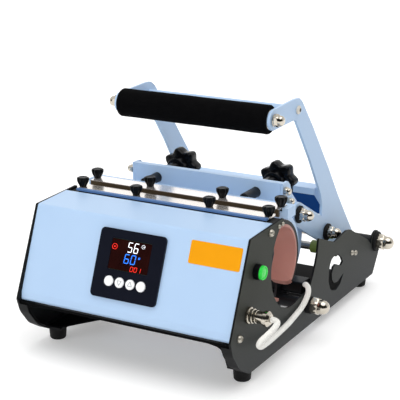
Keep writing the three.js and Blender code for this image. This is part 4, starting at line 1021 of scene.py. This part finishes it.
LOBE_DEPTH = 0.1  # share of the radius
THUMB_SEATS = {"front": (72.3, 167.8), "rear": (103.3, 170.6)}  # y and z
THUMB_X = 119.9
THUMB_INNER_X = THUMB_X * 0.3937  # as they are spaced in the photograph
THUMB_BASE, THUMB_TOP, THUMB_HEIGHT = 4.6, 7.3, 11.2  # radii at the seat and at the top, and the height
THUMB_SHANK_RADIUS, THUMB_SHANK_LENGTH = 2, 6.3
THUMB_FLUTES, STEPS_A_FLUTE = 9, 12
# Height above the seat, radius, and how strongly the flutes are cut there
THUMB_PROFILE = (
    (-THUMB_SHANK_LENGTH, 0, 0), (-THUMB_SHANK_LENGTH, THUMB_SHANK_RADIUS, 0), (0.2, THUMB_SHANK_RADIUS, 0),
    (0, THUMB_BASE - 0.5, 0.4), (1.6, THUMB_BASE, 1), (THUMB_HEIGHT * 0.46, 6.7, 1),
    (THUMB_HEIGHT * 0.68, THUMB_TOP, 1), (THUMB_HEIGHT * 0.84, THUMB_TOP, 1),
    (THUMB_HEIGHT * 0.93, THUMB_TOP * 0.93, 0.8), (THUMB_HEIGHT * 0.985, THUMB_TOP * 0.8, 0.3),
    (THUMB_HEIGHT, THUMB_TOP * 0.6, 0), (THUMB_HEIGHT - 0.4, THUMB_TOP * 0.5, 0), (THUMB_HEIGHT - 0.4, 0, 0),
)
STAR_START_Y, STAR_HEAD_Y = 158.3, 202  # front of the hub sleeve and of the head
STAR_SLEEVE = STAR_HEAD_Y - STAR_START_Y
STAR_RADIUS, STAR_THICKNESS = 23.2, 21
STAR_LOBES, STEPS_A_LOBE = 7, 18
# Distance from the front of the sleeve, radius, and how strongly the lobes are cut there
STAR_PROFILE = (
    (0, 6.3, 0), (0, 9, 0), (STAR_SLEEVE - 9, 9, 0), (STAR_SLEEVE - 8.4, 12, 0), (STAR_SLEEVE - 7.6, 12.6, 0),
    (STAR_SLEEVE + 0.6, 13.2, 0), (STAR_SLEEVE + 1.2, STAR_RADIUS * 0.75, 0.6),
    (STAR_SLEEVE + 2, STAR_RADIUS * 0.92, 1), (STAR_SLEEVE + 3.8, STAR_RADIUS * 0.99, 1),
    (STAR_SLEEVE + 6, STAR_RADIUS, 1), (STAR_SLEEVE + STAR_THICKNESS * 0.62, STAR_RADIUS, 1),
    (STAR_SLEEVE + STAR_THICKNESS * 0.78, STAR_RADIUS * 0.97, 1),
    (STAR_SLEEVE + STAR_THICKNESS * 0.88, STAR_RADIUS * 0.86, 0.9),
    (STAR_SLEEVE + STAR_THICKNESS * 0.93, STAR_RADIUS * 0.6, 0.3),
    (STAR_SLEEVE + STAR_THICKNESS, 8.5, 0), (STAR_SLEEVE + STAR_THICKNESS, 4.3, 0),
    (STAR_SLEEVE - 4, 4.3, 0), (STAR_SLEEVE - 4, 6.3, 0),
)
ROD_RADIUS, ROD_START_Y, ROD_SHOULDER_Y, ROD_END_Y = 6, 120.3, 178, 205.6
ROD_EDGE = 0.6
THREAD_RADIUS, THREAD_DEPTH, THREAD_PITCH = 4, 0.5, 1.5
THREAD_RELIEF = 0.4  # from the shoulder to the first groove


def make_knob(name, node, mesh, lobes, finish, place, axis):
    """A lobed knob from a turned blank, which turns with its own node's body."""
    knob = grown(name, LOBED_GRIP, mesh, {
        "Lobes": lobes, "Depth": LOBE_DEPTH, "Material": finish}, standing(place, axis))
    settle(knob, node, [node])


def make_thumb_screws():
    for row, (y, z) in THUMB_SEATS.items():
        for i, x in enumerate((-THUMB_X, -THUMB_INNER_X, THUMB_INNER_X, THUMB_X)):
            node = f"thumb_screw_{row}_{i + 1}"
            mesh = blank(THUMB_PROFILE, THUMB_FLUTES * STEPS_A_FLUTE)
            make_knob(f"fluted_{node}", node, mesh, THUMB_FLUTES, BLACK_PLASTIC, at(x, y, z), (0, 0, 1))


def make_star_knobs():
    resin = star_plastic()
    for name, side in SIDES:
        node = f"star_knob_{name}"
        mesh = blank(STAR_PROFILE, STAR_LOBES * STEPS_A_LOBE, loop=True)
        place = at(side * ROD_SPREAD, STAR_START_Y, ROD_Z)
        make_knob(f"lobed_{node}", node, mesh, STAR_LOBES, resin, place, (0, 1, 0))


def make_adjuster_rods():
    for name, side in SIDES:
        shape = Shape()
        rows = [(ROD_START_Y, 0), (ROD_START_Y, ROD_RADIUS - ROD_EDGE), (ROD_START_Y + ROD_EDGE, ROD_RADIUS),
                (ROD_SHOULDER_Y - ROD_EDGE, ROD_RADIUS), (ROD_SHOULDER_Y, ROD_RADIUS - ROD_EDGE),
                (ROD_SHOULDER_Y, THREAD_RADIUS)]
        along = ROD_SHOULDER_Y + THREAD_RELIEF
        while along < ROD_END_Y - ROD_EDGE:
            rows.extend([(along, THREAD_RADIUS - THREAD_DEPTH), (along + THREAD_PITCH / 2, THREAD_RADIUS)])
            along += THREAD_PITCH
        rows.extend([(ROD_END_Y, THREAD_RADIUS - THREAD_DEPTH), (ROD_END_Y, 0)])
        turned(shape, at(side * ROD_SPREAD, 0, ROD_Z), (0, 1, 0), rows, steps=40)
        piece(f"blackened_adjuster_rod_{name}", shape, [BLACK_STEEL], "clamp", [f"adjuster_rod_{name}"])


# Switch, connector and feet

# A profile has rows of (distance from the side plate's seat or from the table, radius).
SWITCH_Y, SWITCH_Z = 12, 126
SWITCH_PROFILE = (
    (-25.3, 0), (-25.3, 7), (0, 7), (0, 8.2), (0.5, 8.6), (6, 8.6), (6.6, 8.2), (6.6, 7.9), (4, 7.9), (4, 0))
CAP_PROFILE = ((6.3, 0), (6.3, 7.2), (6.6, 7.6), (9.3, 7.6), (10.1, 7), (10.1, 5.6), (9.6, 5.2), (10.3, 0))
# How many facets, their radius, their distance from the seat and their size
CAP_FACETS = (16, 6.3, 10, (1.3, 1.1, 0.9))
CONNECTOR_Y, CONNECTOR_Z = -5, 83.4
CONNECTOR_PROFILE = (
    (-16.8, 0), (-16.8, 6.5), (0, 6.5), (0, 8.6), (0.4, 8.8), (2.8, 8.8), (3.2, 8.4), (3.6, 7.4), (4.2, 7.4),
    (4.6, 7.9), (6.6, 7.9), (7, 7.4), (7.4, 6.3), (7.4, 0))
PLUG_PROFILE = (
    (7.1, 0), (7.1, 6.6), (7.5, 7), (10.3, 7), (10.7, 6.4), (11.7, 6.4), (12.1, 6.8), (18.1, 6.8),
    (18.3, 7.7), (18.8, 8.2), (23.3, 8.2), (23.9, 7.7), (26.1, 5.6), (26.1, 0))
KNURL_DEPTH = 0.5
# How many knurls, their radius, and where they start and end
CONNECTOR_KNURLS = (36, 8.7, 0.7, 2.6)
PLUG_KNURLS = (30, 8.1, 19.4, 23)
FOOT_X = 120
FOOT_Y = {"front": 13, "rear": 342}
FOOT_PROFILE = (
    (5, 0), (5, 3.5), (0.3, 3.5), (0, 3.9), (0, 7.2), (0.6, 8.4), (2, 9.4), (13.7, 10.3), (14.5, 9.8),
    (14.5, 0))


def ribbed(name, profile, y, z, count, radius, along, size, finish):
    """A turned fitting on the right side plate, with straight ribs of a size round it."""
    shape = Shape()
    turned(shape, Vector((0, 0, 0)), (0, 0, 1), profile)
    return grown(name, ribbed_ring_tree(), new_mesh(name, shape.points, shape.faces), {
        "Radius": radius * MM, "Ribs": count, "Size": tuple(length * MM for length in size),
        "Along": along * MM, "Material": finish}, standing(at(SEAT_X, y, z), (1, 0, 0)))


def knurled(name, profile, count, radius, start, end, node):
    """A plated fitting at the heater's connector, with knurls as wide as the grooves between them."""
    size = (KNURL_DEPTH, WHOLE_TURN * radius / count / 2, end - start)
    fitting = ribbed(name, profile, CONNECTOR_Y, CONNECTOR_Z, count, radius, (start + end) / 2, size, PLATED)
    settle(fitting, "base", [node])
    return fitting


def make_connector():
    knurled("panel_connector", CONNECTOR_PROFILE, *CONNECTOR_KNURLS, "heater_connector")
    return knurled("cable_plug", PLUG_PROFILE, *PLUG_KNURLS, "heater_plug")


def make_switch():
    shape = Shape()
    turned(shape, at(SEAT_X, SWITCH_Y, SWITCH_Z), (1, 0, 0), SWITCH_PROFILE)
    piece("switch_housing", shape, [BLACK_PLASTIC], "base", ["switch_bezel"])
    cap = ribbed("faceted_green_cap", CAP_PROFILE, SWITCH_Y, SWITCH_Z, *CAP_FACETS, green_cap())
    settle(cap, "power_button", ["power_button"])


def make_feet():
    for name, side in SIDES:
        for row, y in FOOT_Y.items():
            shape = Shape()
            turned(shape, at(side * FOOT_X, y, 0), (0, 0, 1), FOOT_PROFILE)
            node = f"foot_{row}_{name}"
            piece(f"rubber_{node}", shape, [BLACK_RUBBER], "base", [node])


# Heater cable

CABLE_RADIUS = 3.23
CABLE_STEPS, CABLE_SIDES = 8, 20  # steps from one point of the route to the next, and facets round it
CABLE_ROUTE = [
    (161.7, -5, 83.4), (165.7, -5, 83.4), (170.6, -9, 83), (171.6, -18, 80.6), (168, -25, 75.4),
    (161.5, -26.5, 68), (155.5, -20, 59.8), (150, -4, 50.5), (146.5, 17, 46), (144, 39, 43.9),
    (142, 61.5, 43), (140.5, 83, 43), (139, 105, 44.8), (138.8, 122, 48.2), (138.8, 134, 54),
    (138.6, 140.5, 60), (136.6, 144.5, 64.3), (132.6, 149, 65.4), (128.7, 154, 63.8),
]


def make_cable(plug):
    path = smooth_path([at(*p) for p in CABLE_ROUTE], CABLE_STEPS)
    shape = Shape()
    swept(shape, path, CABLE_RADIUS, CABLE_SIDES)
    cable = piece("braided_heater_cable", shape, [braid()])
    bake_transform(cable)
    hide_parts("heater_cable")


# Heating pads

PAD_THICKNESS = 7.7
PAD_EDGE = 0.6
LEAST_MITRE = 0.3  # a sharper corner of a sheet isn't drawn out further
# Ends of the pads in degrees round the bore, counted from the rear upwards, and facets between them
FRONT_PAD_TOP, FRONT_PAD_FOOT, FRONT_PAD_STEPS = 116, 267, 64
REAR_PAD_TOP, REAR_PAD_STEPS = 95, 60
# The thin tongue from the front pad's top to the clamp strip
TONGUE_THICKNESS = 1.8
TONGUE_FRONT_Y, TONGUE_DROP_Y, TONGUE_TOP_Z, TONGUE_BEND = 62, 86.1, 164.8, 2
# The rear pad's foot, as x and degrees: it hangs a little lower near its right end
REAR_PAD_FOOT = (
    (-PAD_HALF, -44), (84, -44), (90, -45), (94, -47), (97, -49), (101, -50), (111, -50), (115, -49),
    (118, -46.5), (PAD_HALF, -43))


def band(top, bottom, inner, outer, steps):
    """The outline of a sheet bent round the bore."""
    points = arc(BORE_Y, BORE_Z, inner, top, bottom, steps)
    points.extend(arc(BORE_Y, BORE_Z, outer, bottom, top, steps))
    return points


def skin(outline, thickness):
    """A sheet's closed outline: the outline, and back at its thickness to the left of it."""
    line = [Vector((y, z)) for y, z in outline]
    back = []
    for i, point in enumerate(line):
        before = (point - line[i - 1]).normalized() if i else None
        after = (line[i + 1] - point).normalized() if i + 1 < len(line) else None
        if before is None or after is None:
            way = after or before
            back.append(point + Vector((-way.y, way.x)) * thickness)
        else:
            middle = (before + after).normalized()
            normal = Vector((-middle.y, middle.x))
            mitre = max(LEAST_MITRE, normal.dot(Vector((-after.y, after.x))))
            back.append(point + normal * thickness / mitre)
    return [tuple(p) for p in [*line, *reversed(back)]]


def make_pad(name, shape, rubber, body, node):
    pad = piece(name, shape, [rubber], body, [node], bevel=PAD_EDGE)


def make_pads():
    rubber = pad_rubber()
    outer = BORE_RADIUS + PAD_THICKNESS
    front = Shape()
    body = band(FRONT_PAD_TOP, FRONT_PAD_FOOT, BORE_RADIUS, outer, FRONT_PAD_STEPS)
    prism(front, body[::-1], -PAD_HALF, PAD_HALF)
    sheet = TONGUE_THICKNESS
    foot_y, foot_z = arc(BORE_Y, BORE_Z, BORE_RADIUS + sheet, FRONT_PAD_TOP, FRONT_PAD_FOOT, 1)[0]
    bend_y, bend_z = TONGUE_DROP_Y - TONGUE_BEND, TONGUE_TOP_Z - TONGUE_BEND
    tongue = [(TONGUE_FRONT_Y, TONGUE_TOP_Z), (bend_y, TONGUE_TOP_Z),
              *arc(bend_y, bend_z, TONGUE_BEND, 90, 0, 5),
              (TONGUE_DROP_Y, foot_z + sheet), (foot_y + sheet, foot_z - sheet)]
    prism(front, skin(tongue[::-1], sheet), -PAD_HALF, PAD_HALF)
    make_pad("silicone_pad_front", front, rubber, "base", "heating_pad_front")
    rear = Shape()
    rows = []
    for x, foot in REAR_PAD_FOOT:
        outline = band(REAR_PAD_TOP, foot, BORE_RADIUS, outer, REAR_PAD_STEPS)
        rows.append([at(x, y, z) for y, z in outline[::-1]])
    loft(rear, rows)
    make_pad("silicone_pad_rear", rear, rubber, "jaw", "heating_pad_rear")


# Control panel

# Places are u to the right of the panel's centre and v up its sloping face.
PANEL_CENTRE = (-1.3, -18.22, 117.31)
SLOPE_UP = (0.37226, 0.92815)
DISPLAY_LEFT, DISPLAY_TOP = -25, 27.8
DISPLAY_FACE = 2.75
LIT_LOW, LIT_HIGH = DISPLAY_FACE - 0.1, DISPLAY_FACE + 0.12
# Which of the seven bars of a digit are lit: top, upper right, lower right, bottom, lower left,
# upper left, middle.
LIT_BARS = {"0": "1111110", "1": "0110000", "5": "1011011", "6": "1011111"}
# The ends of those bars, as steps across and half heights down
BAR_ENDS = ((0, 0, 1, 0), (1, 0, 1, 1), (1, 1, 1, 2), (0, 2, 1, 2), (0, 1, 0, 2), (0, 0, 0, 1), (0, 1, 1, 1))
BAR_GAP = 0.12  # share of a bar's width
SLANT = 0.09  # digits lean to the right
# Digits: how far the first stands right of the display's corner and below it, the step to the next, and
# the width, height and bar of each
SET_DIGITS = ("56", 21.3, 2, 7.6, 5.6, 11, 0.85)
ACTUAL_DIGITS = ("60", 19.2, 15, 8, 6, 10.4, 0.9)
COUNT_DIGITS = ("001", 28.3, 27.6, 4.8, 3.5, 5.3, 0.42)
# Round signs: how far right and down, the radius, the width of the line and the number of its blocks
DEGREE_SIGN = (36.8, 17.6, 1.2, 0.6, 8)
COUNT_SIGN = (4.4, 9, 3.2, 0.4, 12)
COUNT_DOT_RADIUS = 0.8
CLOCK_SIGN = (39.6, 4.6, 2.2, 0.3, 8)
CLOCK_HAND = ((39.3, 4.9), (41, 4.9), (41, 4.4), (39.3, 4.4))
KEY_STEP, KEY_V = 13.4, -18.9
KEY_PROFILE = ((-1, 0), (-1, 5.6), (3.4, 5.6), (3.75, 5.45), (3.93, 5.1), (4, 4.4), (3.9, 0))
ARROW_KEYS = {1: -1, 2: 1}  # which keys have an arrow, and whether it points down or up
ARROW_TIP, ARROW_FOOT, ARROW_HALF, ARROW_LINE = 3.1, 1.8, 2.7, 0.2
ARROW_LOW, ARROW_HIGH = 3.85, 4.06
AMBER_PLATE = (68.8, 15.4, 129.6, 40.3)
AMBER_CORNER, AMBER_LOW, AMBER_HIGH = 2, 0.02, 0.28


def on_panel(w, u, v):
    """A place on the sloping face: w out of it, u to the right and v up it from the panel's centre."""
    x, y, z = PANEL_CENTRE
    along, up = SLOPE_UP
    return at(x + u, y + v * along - w * up, z + v * up + w * along)


def flat_piece(name, outlines, low, high, material, body, slot, bevel=0.05):
    shape = Shape()
    for outline in outlines:
        prism(shape, outline, low, high, to_place=on_panel)
    return piece(name, shape, [material], body, bevel=bevel, slot=slot)


def digit(text, left, top, width, height, bar):
    """The lit bars of one digit as slanted hexagons, from its top left corner on the display."""
    half, across, down = bar / 2, width - bar, (height - bar) / 2
    gap = bar * BAR_GAP
    outlines = []
    for lit_bar, (a, b, c, d) in zip(LIT_BARS[text], BAR_ENDS):
        if lit_bar == "0":
            continue
        start = Vector((left + half + a * across, top - half - b * down))
        end = Vector((left + half + c * across, top - half - d * down))
        length = (end - start).length
        along = (end - start) / length
        beside = Vector((-along.y, along.x))
        near, far = gap + half, length - gap - half
        ring = [(gap, 0), (near, -half), (far, -half), (length - gap, 0), (far, half), (near, half)]
        outline = [start + along * s + beside * t for s, t in ring]
        outlines.append([(u + (v - top) * SLANT, v) for u, v in outline])
    return outlines


def digits(text, right, down, step, *size):
    outlines = []
    for i, figure in enumerate(text):
        outlines.extend(digit(figure, DISPLAY_LEFT + right + i * step, DISPLAY_TOP - down, *size))
    return outlines


def round_sign(right, down, radius, width, count):
    """Short blocks in a ring."""
    u, v = DISPLAY_LEFT + right, DISPLAY_TOP - down
    blocks = []
    for i in range(count):
        start, end = 360 * i / count, 360 * (i + 1) / count
        blocks.append([*arc(u, v, radius - width, end, start, 2), *arc(u, v, radius, start, end, 2)])
    return blocks


def make_display():
    white = lit("white_lit_segments", "f4f8ff")
    blue = lit("blue_lit_segments", "1f7bff")
    red = lit("red_lit_segments", "ff2a1c")
    dot = arc(DISPLAY_LEFT + COUNT_SIGN[0], DISPLAY_TOP - COUNT_SIGN[1], COUNT_DOT_RADIUS, 0, 330, 10)
    hand = [(DISPLAY_LEFT + right, DISPLAY_TOP - down) for right, down in CLOCK_HAND]
    for name, light, outlines in (
            ("set_digits_white", white, digits(*SET_DIGITS)),
            ("actual_digits_blue", blue, [*digits(*ACTUAL_DIGITS), *round_sign(*DEGREE_SIGN)]),
            ("count_digits_red", red, [*digits(*COUNT_DIGITS), *round_sign(*COUNT_SIGN), dot]),
            ("clock_icon_white", white, [*round_sign(*CLOCK_SIGN), hand])):
        flat_piece(name, outlines, LIT_LOW, LIT_HIGH, light, "base", "display_window")


def make_keys():
    white = key_silicone()
    ink = key_ink()
    out = (0, -SLOPE_UP[1], SLOPE_UP[0])
    for i in range(4):
        middle = Vector(((i - 1.5) * KEY_STEP, KEY_V))
        shape = Shape()
        turned(shape, on_panel(0, *middle), out, KEY_PROFILE)
        name = f"panel_key_{i + 1}"
        piece(f"round_{name}", shape, [white], name, [name])
        if i not in ARROW_KEYS:
            continue
        corners = [middle + Vector(corner) * ARROW_KEYS[i] for corner in (
            (0, ARROW_TIP), (-ARROW_HALF, -ARROW_FOOT), (ARROW_HALF, -ARROW_FOOT))]
        lines = []
        for start, end in zip(corners, corners[1:] + corners[:1]):
            along = (end - start).normalized() * ARROW_LINE
            beside = Vector((-along.y, along.x))
            lines.append([start - beside, end - beside, end + beside, start + beside])
        flat_piece(f"key_arrow_{i + 1}", lines, ARROW_LOW, ARROW_HIGH, ink, name, name, bevel=0)


def make_amber_plate():
    outline = rounded_rectangle(*AMBER_PLATE, AMBER_CORNER)
    flat_piece("bare_amber_plate", [outline], AMBER_LOW, AMBER_HIGH, amber_vinyl(), "base", "front_cover",
               bevel=0.08)


# Screws on the side plates

# Radius and height of the heads, and the y and z of each
SIDE_SCREWS = (
    ("large", 4.3, 4.2, ((46.9, 158), (-24.4, 63.5))),
    ("tower", 3.4, 3.0, ((279.4, 65.8), (290.6, 62.4))),
    ("small", 2.4, 2.2, ((67.4, 159.4), (76.3, 160.1))),
)
HEAD_SUNK = 0.1  # how far a head's middle lies under the plate's face
SCREW_SEED = 5


def make_screws():
    tree = screw_tree()
    zinc = zinc_screws()
    for name, side in SIDES:
        for size, radius, height, spots in SIDE_SCREWS:
            places = new_mesh("places", [at(side * (PLATE_FACE - HEAD_SUNK), y, z) for y, z in spots])
            screws = grown(f"{size}_screws_{name}", tree, places, {
                "Radius": radius * MM, "Height": height * MM, "Facing": (side, 0, 0), "Seed": SCREW_SEED,
                "Material": zinc})
            settle(screws, "base", slot=f"side_plate_{name}")


# Black base plates that tie the side plates under the press

# A bracket's underside from the cover down and to the rear: y, z and the x of its inner edge
BRACKET_LINE = (
    (-40.4, 61, 96), (-40.35, 59, 104), (-40.3, 58, 111), (-40.2, 57, 117), (-39.8, 55, 120.6),
    (-39.2, 53.5, 121.6), (-36.5, 47.5, 121.9), (-32, 41, 121.9), (-28.5, 36.5, 121.7),
    (-25, 32.5, 120.5), (-19, 28, 117.7), (-14, 24.5, 115.4), (-8, 21.5, 112.2), (-3, 19.4, 109.2),
    (8, 18.6, 102), (20, 18.6, 95), (37, 18.6, 84), (50, 18.6, 74), (75, 18.6, 74), (92, 18.6, 100),
    (100, 18.6, 120),
)
BRACKET_OUTER_X = 122.2
BRACKET_FLAT_Z = 30  # below this the bracket lies nearly flat, and above it nearly upright
BRACKET_THICKNESS = 1.6
PLATE_INNER_X = 132.3
# Front, bottom, rear and top of two sheets, seen from the side, and how round their corners are
SKIRT, SKIRT_CORNER = (-40.6, 58.6, -38.6, 61.2), 0.5
REAR_PLATE, REAR_PLATE_CORNER = (198, 17.8, 331, 19.8), 0.6
SHEET_CORNER_STEPS = 3


def make_base_plates():
    """Wide brackets from the side plates' flanges, curved up to the cover, and a plate across the rear."""
    under = shaded_underside_coat()
    for name, side in SIDES:
        shape = Shape()
        rows = []
        for y, z, inner in BRACKET_LINE:
            lift = BRACKET_THICKNESS if z < BRACKET_FLAT_Z else 0
            back = BRACKET_THICKNESS - lift
            row = [(BRACKET_OUTER_X, 0, 0), (inner, 0, 0), (inner, back, lift), (BRACKET_OUTER_X, back, lift)]
            rows.append([at(side * x, y + dy, z + dz) for x, dy, dz in row[::side]])
        loft(shape, rows)
        piece(f"front_base_bracket_{name}", shape, [under], "base", bevel=0.3, slot=f"side_plate_{name}")
    for name, outline, corner, half in (
            ("front_skirt", SKIRT, SKIRT_CORNER, PLATE_INNER_X),
            ("rear_base_plate", REAR_PLATE, REAR_PLATE_CORNER, BRACKET_OUTER_X)):
        shape = Shape()
        prism(shape, rounded_rectangle(*outline, corner, SHEET_CORNER_STEPS), -half, half)
        piece(name, shape, [under], "base", slot="bottom_pan")


# Folded sheet across the lever, nuts of the beam and blades of the inlet

CHANNEL_HALF = 94.8
CHANNEL_FRONT, CHANNEL_REAR = 250, 272
CHANNEL_LOW, CHANNEL_HIGH = 112, 149.5
CHANNEL_LIP = 8
CHANNEL_SHEET = 1.5
GUSSET = 17
GUSSET_DROP = 25
# y, z, radius, length of the hexagon and whole length
BEAM_NUTS = ((154, 172, 5.2, 4.62, 8.4), (166, 157, 4.4, 4.07, 7.4))
INLET_Y, INLET_Z = -2, 84
INLET_BLADES = ((-4.6, -2.5), (4.6, -2.5), (0, 3))
BLADE_HALF_WIDTH, BLADE_HALF_HEIGHT, BLADE_CORNER = 0.8, 2.4, 0.5
BLADE_START, BLADE_END = -130, -119


def make_lever_channel():
    """The folded cross sheet between the lever arms: a lip and a top outside, and a web whose front face is
    painted in shade.
    """
    front, rear, high = CHANNEL_FRONT, CHANNEL_REAR, CHANNEL_HIGH
    fold_y, fold_z = front + CHANNEL_SHEET, high - CHANNEL_SHEET
    lip_z = high - CHANNEL_LIP
    web_y = rear - CHANNEL_SHEET
    blue = Shape()
    prism(blue, [(front, lip_z), (fold_y, lip_z), (fold_y, fold_z), (rear, fold_z), (rear, high),
                 (front, high)], -CHANNEL_HALF, CHANNEL_HALF)
    for _, side in SIDES:
        # A gusset that closes the top corner of the web at each arm.
        corner = [(side * (CHANNEL_HALF - GUSSET), fold_z), (side * CHANNEL_HALF, fold_z),
                  (side * CHANNEL_HALF, high - GUSSET_DROP)]
        ends = (web_y - CHANNEL_SHEET, web_y + OVERLAP)
        loft(blue, [[at(x, y, z) for x, z in corner[::-side]] for y in ends])
    web = Shape()
    prism(web, [(web_y, CHANNEL_LOW), (rear, CHANNEL_LOW), (rear, fold_z), (web_y, fold_z)],
          -CHANNEL_HALF, CHANNEL_HALF)
    web.looks[-1] = 1  # the face that looks to the front, which gets the painted shade
    coat = blue_coat("channel_powder_coat")
    piece("lever_cross_channel", blue, [coat], "lever", bevel=0.3, slot="lever_tie")
    piece("lever_cross_web", web, [coat, shaded_blue_coat()], "lever", bevel=0.3, slot="lever_tie")


def make_beam_nuts():
    shape = Shape()
    for _, side in SIDES:
        for y, z, *nut in BEAM_NUTS:
            cap_nut(shape, at(0, y, z), (side, 0, 0), JAW_FACE + GAP, *nut)
    piece("beam_cap_nuts", shape, [PLATED], "jaw", slot="beam")


def make_inlet_blades():
    shape = Shape()
    for across, up in INLET_BLADES:
        y, z = INLET_Y + across, INLET_Z + up
        outline = rounded_rectangle(y - BLADE_HALF_WIDTH, z - BLADE_HALF_HEIGHT, y + BLADE_HALF_WIDTH,
                                    z + BLADE_HALF_HEIGHT, BLADE_CORNER, SHEET_CORNER_STEPS)
        prism(shape, outline, BLADE_START, BLADE_END)
    piece("inlet_blades", shape, [PLATED], "base", bevel=0.15, slot="mains_inlet")


make_camera()
make_light()
make_floor()
bpy.context.scene.view_settings.view_transform = "Standard"

SMOOTH_EDGES = smooth_edges_tree()
LOBED_GRIP = lobed_grip_tree()
PLATED = plated()
BLACK_RUBBER = black_rubber()
BLACK_STEEL = black_coat()
BLACK_PLASTIC = black_plastic()

make_cable(make_connector())
make_switch()
dress_frame()
for axle, sizes in AXLES.items():
    make_axle(axle, *sizes)
make_link_bolts()
make_grip()
make_thumb_screws()
make_star_knobs()
make_adjuster_rods()
make_feet()
make_pads()
make_display()
make_keys()
make_amber_plate()
make_screws()
make_base_plates()
make_lever_channel()
make_beam_nuts()
make_inlet_blades()
